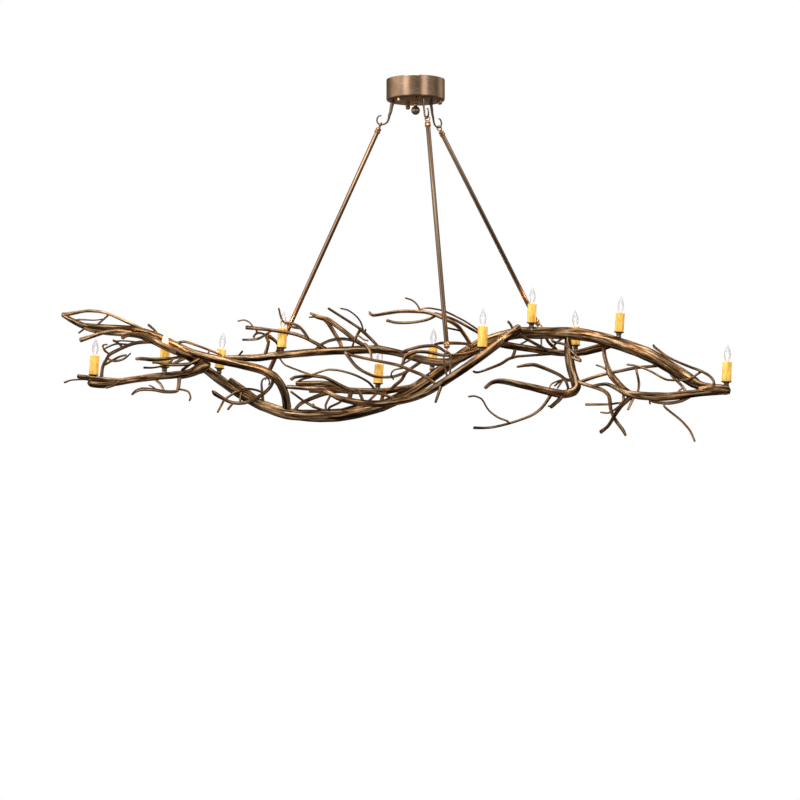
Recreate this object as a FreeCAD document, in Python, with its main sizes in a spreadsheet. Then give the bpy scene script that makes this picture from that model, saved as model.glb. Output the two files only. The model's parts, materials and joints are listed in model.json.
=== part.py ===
import FreeCAD, Part
import math
import os

# Branch chandelier: a canopy with three hooks, three hanging rods, and a welded frame of
# forged limbs and twigs that carries eleven candle lights. +Z is up, +X is right and +Y is
# away from the viewer. The origin is the centre of the canopy's rim, on the ceiling.

SIZES = {
    # canopy
    "canopy_radius": 120,
    "canopy_height": 86,
    "canopy_wall": 1.5,
    "canopy_edge": 5,
    "flange_thick": 4,
    "strap_length": 128,
    "strap_width": 22,
    "strap_thick": 3,
    "screw_spacing": 88.9,
    "screw_hole_radius": 2.4,
    "stud_radius": 5,
    "fit_gap": 0.3,
    "ball_radius": 18,
    "neck_radius": 8,
    "neck_height": 22,
    "neck_sink": 1.5,
    "nut_radius": 8.5,
    "nut_height": 16,
    "nut_shank_radius": 2.5,
    "nut_circle_radius": 101,
    # hooks and hangers
    "hook_circle_radius": 96,
    "hook_reach": 51,
    "hook_drop": 92,
    "hook_wire_radius": 3.6,
    "hook_shank_radius": 4,
    "hook_shank_height": 16,
    "hanger_wire_radius": 3.4,
    "seat_gap": 0.9,
    "loose_gap": 1.3,
    # rods
    "rod_radius": 8.2,
    "loop_radius": 10.5,
    "loop_wire_radius": 2.6,
    "collar_radius": 10.5,
    "collar_length": 24,
    "sway_height": 590,
    # candle lights
    "cover_radius": 19,
    "cover_wall": 2.5,
    "cover_height": 79,
    "cup_radius": 21.5,
    "cup_height": 5,
    "stem_foot_radius": 13,
    "stem_sink": 9,
    "socket_radius": 13.2,
    "socket_height": 70,
    "cap_radius": 6,
    "cap_height": 8,
    "glass_radius": 13.2,
    "glass_height": 73,
    # view of the photograph: limbs are placed by picture columns and rows
    "view_distance": 7000,
    "pixel_pitch": 4.1,
    "depth_step": 1,
    "sample_step": 9,
    "wire_step": 4,
    "wire_error": 0.8,
    "curve_error": 2.6,
    "thick_limb_radius": 9.5,
    "thin_twig_radius": 4.8,
}

# Named pixel coordinates of the photograph, 800 pixels wide.
VIEW_CENTRE_COLUMN = 400
VIEW_CENTRE_ROW = 400
CANOPY_COLUMN = 415.6
CEILING_ROW = 80

LIMB_SIDES = 7
TWIG_SIDES = 5
THIN_SIDES = 4
WIRE_SIDES = 5
TUBE_SIDES = 12
TURNED_SIDES = 8
BALL_SIDES = 10
GLASS_SIDES = 8
RING_RUNS = 12
SHANK_SIDES = 8
END_SHARE = 0.62
END_RUN_SHARE = 0.45

# Each limb is a chain of places: column, row, visible diameter in pixels, and @depth in
# depth steps, away from the viewer. A value left out lies evenly between its neighbours.
LIMBS = {
    "crown_limb": "61.5 314.5 3.5 @-10, 66 317 4, 70 319.3 5, 75 322 5.5, 80 324 6, 85 325.5 6.5,"
    "90 326.7 6.5, 100 327.3 6, 110 327.4, 120 327.8, 130 328.8 @0, 140 330.6 6, 150 333.5 6.5 @40,"
    "160 337.5 7, 170 342.5, 180 347.3 7 @40, 190 352 7.5 @20, 200 355.3 8, 210 357.8, 220 360 8 @-10,"
    "230 362, 240 364.5, 250 366.8, 260 369.3 8, 265 371.3 8 @-20, 270 374 8.5 @-18, 275 377.5 8.5 @-5,"
    "279 382 8, 282.5 388 8 @22, 285 395, 286.3 402 7.5 @48, 287.3 409 8 @62",
    "crown_loop": "61.5 314.5 3.8 @-10, 70 313.7 4, 80 311.6 3, 90 311.1 2.9 @-14, 100 311.8,"
    "110 314.5 2.7 @-8, 120 318.9, 130 323.4 3.2 @0, 140 328.2 3.2, 147 331.6 3 @34",
    "wave_limb": "84 328 3 @-20, 90 330, 97 331.5, 105 332.8 4, 115 334, 125 334.3, 135 335 5 @-50,"
    "145 338, 155 342 6 @-60, 165 346.5 6.4 @-55, 175 351 6.6 @-40, 185 355 7 @-20, 190 357.5 7.4 @5,"
    "196 361 7.6 @45, 203 367 8 @80, 210 372.5, 220 380 9 @82, 230 387, 240 393.5 9.5, 250 399,"
    "260 404.4 10 @84, 270 408, 280 411 10.5, 290 414, 300 415 11, 310 415.5, 320 416 11.5 @40,"
    "330 416 11.5, 340 415.5, 350 414 11, 360 412, 370 409.5 10.5, 380 406.5 10.5 @60, 390 402.5,"
    "400 397.5, 410 391.8, 420 385.5, 430 378.5 10.5 @170, 440 371 10, 450 363.5, 460 356,"
    "470 349.5 10 @150, 480 344, 490 340, 500 337 10.4 @195, 510 334.5, 520 333 10.8 @212,"
    "530 332.8 11, 541 333 11 @215, 550 333, 560 333, 570 333.3, 575 333.7 11 @180, 590 335.8,"
    "600 338, 610 341, 619 343.7 11 @100, 630 347.4, 640 350.8 11.4, 650 355.8, 660 361 11.4 @0,"
    "670 367, 680 372.8 11 @-60, 690 380 10.5 @-90, 695 383 10, 700 385.5 8 @-110, 710 387 6.5,"
    "720 388 5.5 @-122",
    "back_limb": "222 358 4.5 @-4, 230 358 5, 240 358 5.5, 250 358.2 6.5 @8, 260 357.3 7.5,"
    "276 355.6 7 @20,"
    "290 354, 300 353.3 6.5, 310 352.5, 320 351.7 7, 330 351.2 7.3 @0, 340 350.8 7.4, 350 350.3 7.5,"
    "360 349.6 7.8, 370 349.4 8, 380 349.8 7.5 @-40, 390 351.5 7, 400 353.5 6.6, 410 356 7.4,"
    "420 359 7.5, 430 361 7.5 @-60, 440 362.2 7.5, 448 362 7.5, 456 360.3 7.2, 464 357.3 7,"
    "470 354 6.8 @-45, 480 348.7 6.3, 490 344.3 6.2 @10, 500 344 6.6 @70, 505 344.8 6.8, 512 346 6.6,"
    "520 347.3 6.5 @150, 530 348.8 6.4, 541 350.3 6.3 @205, 550 351.7 6.2, 560 352.8 6.2,"
    "568 353.2 6 @284, 576 353.3 5.8 @300, 584 352.4 5.8 @286, 592 350.9 5.6 @248,"
    "600 348.8 5.6 @205, 606 347 5.4 @165,"
    "614 344.5 5 @106",
    "left_arm": "88.5 381.5 5 @60, 91 382.8 7.5, 96 383.3 8.3, 104 383.5 8, 112 383 7, 120 381.6 6.2,"
    "131 380 6.3 @33, 140 379 6.4, 150 377.3 6.5, 160 376.2 6.8 @0, 170 375.3 7 @5, 180 374.4 7,"
    "190 372.3 6.8 @40, 198 369.8 8 @62, 205 367.6 9.2 @78",
    "left_prong": "79.5 340.5 4.6 @-60, 85 338.6 4, 90 336.8 3.8, 95 335.3 3.6, 100 333.7 3.6, 105 332.3,"
    "110 331.3, 117 330.8 3.4 @-50, 124 331.5, 132 333 3.4 @-42",
    "front_limb": "322 390 3.4 @15, 325 390.8 3.6, 330 393.5 4, 336 396.8 5 @-14, 343 399.3 5.5,"
    "350 400.8 6 @-75, 358 402.3 6, 366 403.3 6.4, 375 403.6 6.6, 384 403.4 6.6, 393 402.3 6.6 @-205,"
    "402 400.8 6.6, 411 398.4 6.6, 420 395.2 6.6, 428 391.5 6.8, 436 387 6.8, 444 382 6.8,"
    "449 378.8 6.7 @-370,"
    "460 371.3 6.6, 468 365.8 6.6, 476 360 6.5, 484 354.4 6.2 @-450, 492 348.6 6.1, 500 342.4 6.1,"
    "507 336.8 6.5, 513 332.4 6.8, 518 329 6.2 @-480",
    "middle_limb": "286.5 386.8 3.6 @28, 295 387.3 4 @24, 305 388 5, 315 388.4 5.5, 325 389 6 @30,"
    "335 389.8 6,"
    "345 390.5 6, 355 391 6, 365 391.2 6, 378 391.4 6 @50, 385 391.2 6, 395 389.8 5.6 @80, 405 388 5.2,"
    "412 386.6 4.8 @120, 419 384.8 4.4 @146",
    "drop_limb": "567.5 336.5 5 @188, 568 343 6, 568.5 349 7 @162, 569 356 7.3, 569.8 362 7.4, 571 368 7.6,"
    "572.8 374 7.6 @92, 574.8 380 7.8, 576 385 8 @62, 575.3 389.3 7.8, 572 392.2 7.6, 566 393.6 7.2,"
    "559 393.6 7 @20, 551 392.3 7, 543 390.3 6.8, 535 388.3 6.6, 527 386.3 6.4, 519 384.4 6 @-90,"
    "511 382.8 5.6, 503 381.3 5.2, 496 381.5 4.6, 491 383 4, 487.5 385.6 3.6, 485 388.2 3.4 @-150",
    "right_arm": "592 386.3 2.6 @20, 598 384.9 3, 605 384.4 3.2, 611 385.3 3.6 @-50, 616 388 4.2,"
    "621 390.8 5,"
    "627 393.3 6.2 @-135, 633 394.7 7, 640 395.6 7.6 @-150, 650 396.3 7.8, 660 396.6 7.8, 670 396.4 7.8,"
    "680 395.5 7.6, 690 394 7.4 @-130, 700 392.7 7.2, 710 391.7 7.2, 719 391 7.4, 726 390.4 8,"
    "730.5 390 6.4 @-120",
    "left_rail": "135.3 359 2.6 @-60, 140 358.7 3.6, 148 359 4, 156 359.6 4 @-40, 163 358.9 3 @-35,"
    "170 358.4 2.6, 177 357.6 2.6, 184 356.2 3.4 @-22, 190 357.5 3 @0",
}

TWIGS = {
    "crown_twigs": (
        "97 325 1.8 @-8, 101 321.5, 105 318, 108.5 315 1.6 @-9",
        "73 320.5 1.6 @-14, 80 319.6, 90 320.2 1.2, 96 320, 103 319 1.1 @-10",
        "86 327.5 1.8 @-14, 82 330.8, 78.3 333.2 1.6 @-30",
        "147.8 324.3 2.2 @30, 151 327, 155 330.8 2, 158 335.5 2 @40",
        "175 344 2.6 @38, 182 341.9 2.2, 188 342.5, 195 344.5 2.2 @30, 202 347, 209 349.8 2.2,"
        "216 352.8 1.8 @24, 222 356 1.8 @16",
        "209.5 350 1.4 @26, 208.3 353.6 1.6 @16",
        "121.5 338.6 3.2 @-72, 124 336.6 3.4, 128 334.8, 134 334 3.6 @-66, 140 335, 147 337.8 3.6,"
        "153 341.4, 160 345.8 3.5 @-70, 168 350, 176 353.4 3.2 @-50",
    ),
    "left_arm_twigs": (
        "77 376.2 3.8 @24, 81 376.6 3.6, 86 377.2, 90 377.6 3, 97 378.2 2.8 @27, 105 378.8, 115 379.6 2.6,"
        "125 379.3, 131 379 2.6 @28",
        "63.8 382.8 1.8 @30, 67 381.2, 71 380.2 1.5, 78 379.5 1.3, 85 379.5 1.4 @34, 91.5 381.4 1.6 @50",
        "105.5 387.6 2.6 @42, 110 386.4, 114 385 2.6 @30, 118 382.5, 121 380.3 2 @28",
        "101.3 380 3.2 @48, 101.6 374 3, 102 370 2.8, 103 366.5 2.8, 105.5 362.5 2.6, 107 358.5,"
        "109.5 355 3 @30, 113 352.2 3.2, 118 350 3, 123 347.8 3.2, 128 345.2 3, 133 343.8 3.2 @-22,"
        "140 342.6, 148 341.8 3, 155 342 3 @-56",
        "107.5 358.8 1.8 @31, 112 360.8 2, 117 360.9, 122 359.6 2 @20, 127 356.8 1.6, 131 353 1.2 @12",
        "104 365.3 2 @36, 108 362.8, 112 360.8 1.8 @28, 116 358.5, 121 356, 126.5 354.9 2 @16",
        "109.5 354.5 2.2 @30, 107.5 352.2, 104.5 350.5, 102.8 348 2 @26, 103 345.5, 105 344.4,"
        "107.5 344.4 1.6 @20",
        "103.4 349.3 1.6 @26, 108 346.8, 113 345 1.6 @12, 118 343.8, 124 343.9 1.5, 130 344.6 1.5 @-14",
        "112.5 340 2 @0, 115 341.2, 118 343, 121 345.8, 123 347.8 2 @4",
        "116 341.2 1.4 @0, 124 340.8 1.4 @-10, 130 341.2, 138 342 1.4 @-32",
        "154.5 379 2.4 @2, 158 381.8 2.2, 161 385, 163 388.5 2, 164 391 2 @-14",
        "131.5 394.8 2 @-40, 134 392.2 2.6, 138 390.2 3, 143 389.2 3.2, 150 389.4 3, 157 390.2 2.8,"
        "163 391.4 3 @-14, 169 392 3, 174 391.8 3, 177.5 389.8 3.2 @8, 178.5 386 3, 179 382 3,"
        "179.5 376.5 3.4 @20",
        "178.3 389 1.8 @8, 184 390, 187.5 391.5 1.8 @0, 190 394.3, 190.5 397.5 1.8, 189 401 1.8 @-20",
        "181.5 370.5 2.6 @20, 186 367, 190 364, 194 361.3 2.6 @8, 197.5 358.5 2.6 @2",
    ),
    "left_rail_twigs": (
        "152.2 362.9 2.2 @-50, 158 362.6 2.6, 164 364 2.8 @-42, 171 364.8 2.8 @-36, 180 364.6 3.2,"
        "188 364 3 @-16, 195 361.5 3, 200 359 3 @4",
        "167 364.4 2.2 @-40, 170.5 362 2.4, 172 359.8, 176 358 2 @-31",
        "172 364.4 2.4 @-36, 177 361.8 3, 183 358.8 3, 189 356.5 2.6 @-14",
        "143.2 367.6 2 @-66, 150 367.8 1.6, 157 367.2, 163 366 1.6 @-46, 168 364.9 1.8 @-41",
    ),
    "swoop_twigs": (
        "212.3 390.3 2 @0, 214 392.8 4, 217 394.8 4, 220 396.6 3.6 @14, 224 399 3, 229 401.5 2.8,"
        "235 403 3 @44, 241 403.2 3, 247 402 3.2 @58, 253 399.5 3.2, 259 396.5 3.4 @34, 263 394 3.2 @22,"
        "267 390.5 3, 270.5 386.5 3.2, 272.5 382 3, 273 377.5 3 @-24, 272.5 374.5 3 @-18",
        "224.3 399.5 2 @20, 222 403.5 2, 219.5 408 1.8, 217.4 412.8 1.8 @4",
        "233 403 2 @40, 230 407 1.8, 227.5 409.8 1.8 @26",
        "225 399.2 2 @22, 229 396 2, 233.5 393.3 2.2 @50, 237 391.8 2, 241 391.5 2.2 @64",
        "240 392 2.2 @63, 245 389.5 2.2 @58, 250 389 2, 256 390 2 @44, 261 391.8 2, 264 393.4 2 @21",
        "240 402 2 @54, 240.5 396, 242 392 2.2 @63",
        "229 379.3 4.5 @76, 234 382.4 5, 240 386.6 5, 246 391 4.6 @72, 252 395 4.4, 259 400.5 4 @74",
        "157 390.2 1.4 @-20, 152 386.5 1.3 @-24, 148.5 385.2 1.1 @-28",
        "290.5 391.3 2 @10, 294 394, 299 397.8, 303 400.5 2 @36, 307 403, 312 405.8 3, 316 407.6 2.4 @30,"
        "321 409.4 2.2, 327 410.2 2 @36, 333 410.2, 340 409.6 2 @40, 347 408 2, 354 405.9 2.2 @-20,"
        "360 404.4 2.2 @-92",
        "313 403.6 1.8 @28, 314.2 406.5 1.8 @32",
        "295 410 3.2 @60, 298 405.8 3.2, 302 402.8 3.2 @42, 307 400.3 3.4, 313 397.8 3.6, 320 395.3 3.6,"
        "326 393.6 3.6, 331.5 393.9 3.4 @4",
        "326 409.8 2 @36, 326 404, 328 399.5 2, 330.8 394.8 2 @6",
        "328 410 1.8 @36, 331 406.5 2, 337 403.8 2.2, 342.5 400.2 2 @-30",
    ),
    "back_left_twigs": (
        "245.3 327.3 3.6 @-22, 250 327.8 3.4, 257 328.5 3, 265 329.3 3, 272 330.2 3, 280 331.3 3.2 @-14,"
        "288 332.6 3.2, 296 334.5 3, 304 337.3 3, 310 340.3 3, 316 343.3 3 @-4, 321 346.2 3,"
        "327 350 3.6 @0",
        "237.5 321.3 1.4 @-34, 240 320.3, 243 320 1.4, 246.5 320.8, 250 323, 254 328 1.4 @-20",
        "309 339.8 2.6 @-9, 306.5 335.5 2.6, 303.5 331.5, 300.5 328.2 2.8, 297.5 325.8 2.6 @-8,"
        "294 324.2 2.4,"
        "290 323, 286.5 322.2 1.8 @-12, 281 322 1.2 @-14",
        "300 328.4 2.2 @-8, 295 327.8 2, 291 326.5 2.2, 287 324.3 2 @-12, 283 321.9 1.2 @-14",
        "284 322.3 1.4 @-14, 281.5 318.5 1.8, 280 314, 278.6 307.8 1.6 @-18",
        "265 355.5 3.4 @12, 267 349 3, 268.3 345 2.8, 268 341 3 @4, 266.5 337.5 2.6,"
        "264.5 334.5 2.2, 261.5 333.3 2,"
        "257.5 333 2.4 @6, 254.8 334.8 2.2, 253.8 338 2 @10",
        "242 339.8 2 @4, 248 339.6 1.8, 254 339.5 2, 258 338.6 2.6 @4, 261.5 336.5 2.2,"
        "264.5 334.8 2, 267 333.8 2 @2,"
        "270 332.6 1.8, 272.5 330.5 1.8 @-16",
        "257 333.4 1.8 @6, 256.2 328.8 1.8 @-20",
        "267.5 337 2 @2, 271 338.5 2 @22, 274 340.6 2.2, 277 343.5 2 @46, 277.4 349 1.6 @44,"
        "273.5 353.6 1.6 @22",
        "267 334 2 @2, 271 336.5 2 @16, 274 339.2 2.2 @34, 277.2 342.5 2 @46",
        "237.5 357 1.8 @4, 240 353.3, 242.8 350.8 1.8 @-6",
        "279.5 358 1.6 @20, 283 363, 288 366.3 1.6, 293 368.8, 299 371 1.8, 305 373 2, 311 374.4 1.8 @8,"
        "317 373.2 1.8, 321 371.5, 326 370.1 1.8 @14, 333 369.7 2, 340 370.6 2, 348 373 2, 356 375.3 2,"
        "362 378 2 @38, 368 382 2, 372 385.8 2.2, 375 390 2.2 @48",
    ),
    "back_middle_twigs": (
        "310 312.8 1.6 @30, 313 314.8 3, 317 316.6 4, 322 318 4 @12, 328 319.8 4.2, 332 322.3 4,"
        "338 326.7 4,"
        "344 331.1 4 @-14, 350 336 4, 355 340 4, 360 343 4, 364 345 3.6, 368 348 3 @-36",
        "308.7 317.4 1.2 @30, 312 317.2, 316.5 316.6 2 @24",
        "322 318.3 3.2 @12, 326 321 3.4, 330 326 3.6, 333 331 3.4, 336 336 3.4, 339 341 3.4,"
        "342 350 3.4 @-8",
        "314 351 2.5 @8, 319 346.5 2.6 @-3, 322.5 343.7 2.6, 327 341.5 2.6, 333 339.8 2.8,"
        "340 339 2.8 @-12,"
        "348 339.2 2.6, 356 341.2 2.6 @-25",
        "327.8 308 2.2 @-74, 332 311 2, 339 315.5 2.2, 346 319.8 2.2, 352 323.5 2.2, 358 327.5 2.4,"
        "361 330 3 @-48,"
        "365 333 3, 369 337 2.6, 373 341 2.6, 379 348.5 2.8 @-42",
        "340.3 308.3 1.4 @-84, 345 309.2, 350 311.3 1.4, 355 315, 359 319.5 1.5, 361.5 324,"
        "363.3 331 1.6 @-48",
        "360.5 329 3 @-48, 358.5 332 2.6, 357.5 334.5 2.4, 355.5 337.5 2.2, 354 341 2.2 @-25",
        "354.5 340.5 1.8 @-25, 352.8 343.5 2, 351.4 349 2.2 @-20",
        "357.5 335 1.8 @-40, 361.5 338, 365 340, 368.5 340.6 1.6 @-50",
        "365.8 328.8 1.8 @-48, 364.6 333 1.8 @-46",
        "363 344.2 2.6 @-27, 367.5 346.5 2.4 @-52, 369.5 350 2.4 @-60, 371 354 2.2, 371.5 359.3 2 @-84",
    ),
    "middle_strands": (
        "295.5 383.3 4 @18, 303 383 4, 312 382.8 4, 322 383 4 @24, 332 384.4 4, 340 387 4.2 @36,"
        "347 389.4 4,"
        "354 390.8 3.6 @40",
        "290.5 380 3.4 @6, 293 378 3, 297 376.8 2.8, 302 376.4, 308 375.8 3, 315 376 2.8 @8, 322 377 3,"
        "328 378.8 3, 333 381.2 2.8, 340 385 3, 347 388.4 3, 355 391 3 @34",
        "297 382.6 2 @16, 299 381, 303 379 2 @10, 307 378 2, 312 377 1.8 @8",
        "309 391.4 2.6 @22, 318 391.8 3, 328 391.6 3 @26, 338 392 3, 347 391.6 2.6 @36",
        "351 391.5 4 @36, 350 395.5 4 @-16, 349 400 4 @-64",
        "359 391 2.8 @42, 361.5 396.5 2.8, 363.3 402 2.8 @-116",
        "367 402.8 2.2 @-126, 372 397.5 2.2, 378 392.3 2 @46",
        "384.5 391.5 3.4 @52, 382.5 397, 380.5 402.5 3 @-166",
        "366 391 2.4 @46, 376 392.8 2.6 @26, 384 394.6 2.6, 390 397 2.6, 397 400.8 2.6 @-212",
    ),
    "front_twigs": (
        "344.5 351 2.4 @-14, 349 354 2.6 @-30, 354 355.8 2.4, 360 357.3 2.4, 366 358.6 2.4,"
        "373 360 2.6 @-90,"
        "380 361.2 2.6, 388 362.8 2.8, 396 364.5 2.8, 403 367.5 3 @-190, 410 370 3, 416 372.5 3, 422 375 3,"
        "428 378.5 2.8, 434 382.9 2.6, 437 386 2.4 @-334",
        "344.5 351 3 @-12, 346.5 354 3 @-24, 349 358, 353 363 3, 358 368 3, 364 371.5 3,"
        "371 375 2.8, 378 376.8 2.6 @-20,"
        "386 377.2 2.6, 392 376.8 2.6, 398 375.2 2.6, 404 372.8 2.6, 409 369.8 2.8 @-42, 414 366.3 3,"
        "419 362.8 3, 423.5 360 2.8 @-58",
        "409 370 2.4 @-42, 405 374 2.8, 402.5 378.5 3, 399 382 3, 395.5 385 3, 391 389.8 2.8 @56",
        "404 368 1.6 @-192, 398 368.9, 394 370.2 1.6, 391.5 372.8, 391.3 376 1.5, 392.5 378.3,"
        "393.7 379.7 1.6 @-150",
        "441 386 3 @-348, 439.4 389.5 2.8, 437.8 394 2.2, 436.3 399 2, 435.3 402.8 2.2 @-362",
        "513 332 2.2 @-470, 510.5 324.3 2, 507.8 321 2.2 @-490",
        "512 332.4 3 @-474, 517 333.5 2.8 @-440, 522 336.3 2.6, 528 339.5 2.6, 534 342.8 2.4, 540 346 2.4,"
        "546 349.6 2.6 @205",
    ),
    "top_twigs": (
        "369.2 311.2 1.6 @-36, 370.8 314 2.6, 374 315 2.8, 380 314.6 3, 387 313.8 3, 394 312.2 3,"
        "401 311.4 3,"
        "408 311.3 3, 415 311.5 3, 421 311.8 3 @-56, 428 312.8 3, 434 314.6 2.8, 440 317 2.6,"
        "447 320 3 @-70,"
        "452 322.3 3.4, 457 325.8 3.4, 461 330 3.4, 464.5 335 3.3, 468 340.5 3.4, 470.5 345.5 3.4,"
        "471.5 352 3.4 @-45",
        "405 297.8 1.4 @-66, 410 299.3 1.5, 414.5 302 1.5, 418 306 1.6, 420.6 311.5 1.8 @-56",
        "386.2 320.3 2.6 @-40, 391 321.8 2.4, 398 322.8 2.4, 405 322.8 2.4, 412 322.4 2.4, 419 321.3 2.2,"
        "426 320 2.4, 432 317.8 2.4, 437 315 2.2 @-62",
        "434.5 312.8 2.2 @-60, 439 314 2.4, 443 315.5, 448 317.3 2.4 @-40, 455 320 2.4,"
        "462 323.5 2.2, 469 327.5 2.4,"
        "475 331.3 2.2, 480 334.3 2, 485 339.5 2 @176",
        "420.5 309.5 1.4 @-57, 425 308.3 1.5, 431 308.3 1.5, 437 309.3 1.5, 442 310.3, 447 312.2 1.6 @-30,"
        "453 315 1.6, 460 318.5 1.5, 467 322.5 1.6, 473 326.5 1.5, 479 330.8 1.6, 486 339 1.6 @178",
        "447 327.8 1.6 @-66, 452 328.8 1.6, 457 329.8 1.8, 461.5 331 1.8 @-62",
    ),
    "rod_side_twigs": (
        "402 353.2 2.6 @-60, 406 350.6 2.8 @-62, 411 349.4 2.8, 420 346.8 3, 427 345.8 2.8,"
        "433 345.8 2.8 @-54, 438 347 2.8,"
        "442 349.5 2.6, 446 352.3 2.4, 451 359 2.2 @-58",
        "433 345.5 2.2 @-54, 437 343.8 2.2, 441 343 2.4, 448 343 3 @-60, 456 343.3 3, 463 343.5 2.6,"
        "468 344.2 2.4, 471 346 2.2 @-56",
        "400 366 1.8 @-184, 403 362.8 2.6 @-168, 404 359.5 3 @-140, 406.5 356.5 3.2, 411 353.5 3.4 @-100,"
        "417 351.8 3 @-86, 424 351.8 3, 431 352.6 3, 438 354 3, 444 355.2 2.6, 450 355.5 3 @-82,"
        "458 354.8 3,"
        "466 353.8 3 @-78, 473 352.2 3, 481 348.8 2.8 @-30",
        "400.8 365.3 1.6 @-182, 405 363 1.6 @-150, 409 361, 413 358 1.6 @-64",
    ),
    "right_back_twigs": (
        "473 371.2 2.2 @60, 476 372.2 2.2, 481 371.5 2, 488 369 2.2, 496 366 2.6, 503 362.5 2.8,"
        "508 359.3 2.6 @118,"
        "513 357.6 2.4, 520 356.3 2.2, 530 355.4 2, 540 354.9 2, 550 354.5 2, 561 353.5 2 @258",
        "515.5 348 2.6 @130, 514 353.5 2.8, 511.5 358.3 2.4 @126",
        "515.5 350 1.5 @128, 518 346 1.6, 522 343.3 1.6, 526 341.3 1.6, 531 337 1.6 @212",
        "541.3 337.5 1.6 @214, 541.5 349.5 1.5 @204",
        "546 337 2.6 @212, 549.5 343.2 2.6, 553 346.5 3.2, 557.5 352 3.4 @252",
        "551 337.5 2.4 @206, 554 341.8 2.4, 558 342.8 2.2, 563 344 2.2 @165, 567 346.5 2.4 @150,"
        "571 350.5 2.6 @142,"
        "574 354 2.8, 577.5 357.5 2.6, 581 361 2.6 @112",
        "552.5 351.5 1.6 @238, 553.5 347, 555.5 343.8 2, 558.5 341.2 1.8, 562 339 1.8, 565 336.5 1.8 @190",
        "568 355 2.4 @134, 571 357, 574 358.5 2.4, 578 360.3 2.4, 581.5 361.3 2.4 @112",
        "572 352 2.2 @285, 580 350.4 2.4 @262, 590 348 2.8, 600 344.8 3, 607 342.5 2.6 @130",
    ),
    "drop_twigs": (
        "516.8 366.8 2 @-20, 521 366 2.4, 526 365.2 3, 531 365 3.2, 537 365.5 3.2, 543 367.5 3.2,"
        "549 370 3,"
        "555 372.8 3, 560 375.5 2.8, 563.5 378.3 3 @66, 567 379.8 3, 573 380 2.6 @80",
        "549.5 391 1.4 @0, 551 384.8 1.4, 555 382, 560 380.5 1.8 @56, 565 379.4 1.6 @68",
        "554.3 386.3 1.6 @40, 557.5 382.8, 561 380.3 1.8 @60",
        "557.3 388.5 1.6 @36, 560 384, 562.8 379.9 1.8 @64",
        "564.5 379 2.4 @68, 567 384 2.4, 569 391.5 2.2 @46",
        "552 393 3 @0, 548 399.5 2.8, 544 405 2.6, 539.5 410 2.6, 534 414 2.4, 527 417.3 2.2,"
        "519 420.2 2.2 @-60,"
        "511 422.8 2.2, 503 425 2, 495 426.8 2, 487 427.8 2.2, 480 428 2.2, 473.3 427.8 2.6 @-120",
        "468.2 396.7 1.8 @-140, 472 396.1 1.6, 476 396.3, 480 398, 483.5 401.5 1.6, 486.5 407,"
        "490 411.5 1.6,"
        "495 415.5, 501 418.8 1.8, 507 421, 509.5 423.4 2 @-75",
        "563 394 4 @24, 558 400.8 3.6, 554 404.3 3.4, 550.5 407.3 3.4 @-20",
        "551.5 406.5 1.6 @-18, 547.8 406 1.4 @-26",
    ),
    "right_twigs": (
        "577 383 3 @62, 583 381 3, 589 378.5 2.8, 596 376.4 2.8, 604 374.5 2.8, 611 373.3 2.8 @40,"
        "616 371.8 2.8,"
        "624 370.3 2.8, 632 368.8 2.8, 640 367.3 2.8 @28, 648 366.3 2.6, 655 366 2.4, 662 365.5 2.4 @6",
        "577 382 3 @58, 584 383.8 3, 589 386, 593 387.3 3.4 @20, 599 388.8 3.4, 604 390.8 3.4,"
        "607.8 394.3 3.4,"
        "609.8 399.5 3.4 @-40, 610.3 405 3.2, 611 410 3, 612.8 415 3 @-62, 615.5 420 3.2, 619.5 426 3.2,"
        "623.5 431 3, 625.8 436 2 @-90",
        "604 347 3.6 @168, 604.5 355 3.4 @122, 606 361.5 3.4 @95, 608.5 368 3.6, 611.5 374 4 @36,"
        "616 380 4.4,"
        "621 386 4.8 @-70, 626 390.5 5, 633 395 4.6 @-140",
        "606.5 366 2.4 @74, 607.5 371 2.6, 610.5 377 3 @16, 615.5 382.5 2.8, 621 388.5 2.6 @-86",
        "595.8 364.8 1.4 @82, 600 366.2 1.5, 604 368 1.6, 608.5 371 1.8 @58",
        "626.8 364.5 1.8 @52, 631 365 1.7, 636 365.8 1.8, 641 367.3 1.8 @18, 647 369.5 1.8,"
        "653 372.5 2, 660 376.5 2,"
        "666 379.3 2, 673 380.2 2 @-84, 680 380.3 1.8, 686 379.8 2 @-113, 692 377.5 2, 697 374.5 2,"
        "701.5 371.5 2 @-127",
        "636 368.3 2.2 @30, 637.5 374, 638.5 380 2.2, 639 385, 638 389, 637.5 394 2.2 @-146",
        "653.3 344.8 1.8 @24, 655 347.5 2.4, 659 350.7 2.2, 664 354.3 2, 670 358 2.2,"
        "677 361.5 2.2, 685 365 2.2,"
        "693 368 2.2, 699 370.2 2.4 @-126, 704 372.5 2.4, 709 375.5 2.4, 712.5 379 2.4, 714 383 2.4 @-142,"
        "714 387 2.4, 713.8 391.5 2.4 @-134",
        "668.5 368.5 2 @-22, 673 377 2.4, 677 381 2.4, 681 384.8 2.4, 684 388.3 2.4 @-120,"
        "687 393.5 2.4 @-131",
        "683.8 388 1.8 @-120, 680 390 1.8, 677 393.6 1.8 @-134",
        "648 398 2 @-150, 652 401 2.2, 657 402.3 2.8, 664 403 3 @-146, 671 403, 678 401.8 3, 684 400 2.6,"
        "691 396.5 2 @-131",
        "649.3 398.5 1.6 @-150, 650.2 404.5 1.6 @-156",
        "664.5 402.5 2.6 @-146, 664.7 406.5 2, 667.5 409.5 2, 673 414 2, 680 419.5 2, 685 424.5 2,"
        "689.5 430 2,"
        "693 436.5 2, 695 441.8 1.8 @-184",
        "633.5 398 2.6 @-146, 631 404.5 2.2, 627.8 410 2 @-172",
        "631 396.5 4 @-140, 625 402 4.2, 621 406 4, 617.5 411 3.6, 614 416.5 3.2 @-92, 611 421.5 3,"
        "608 426 3,"
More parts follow.
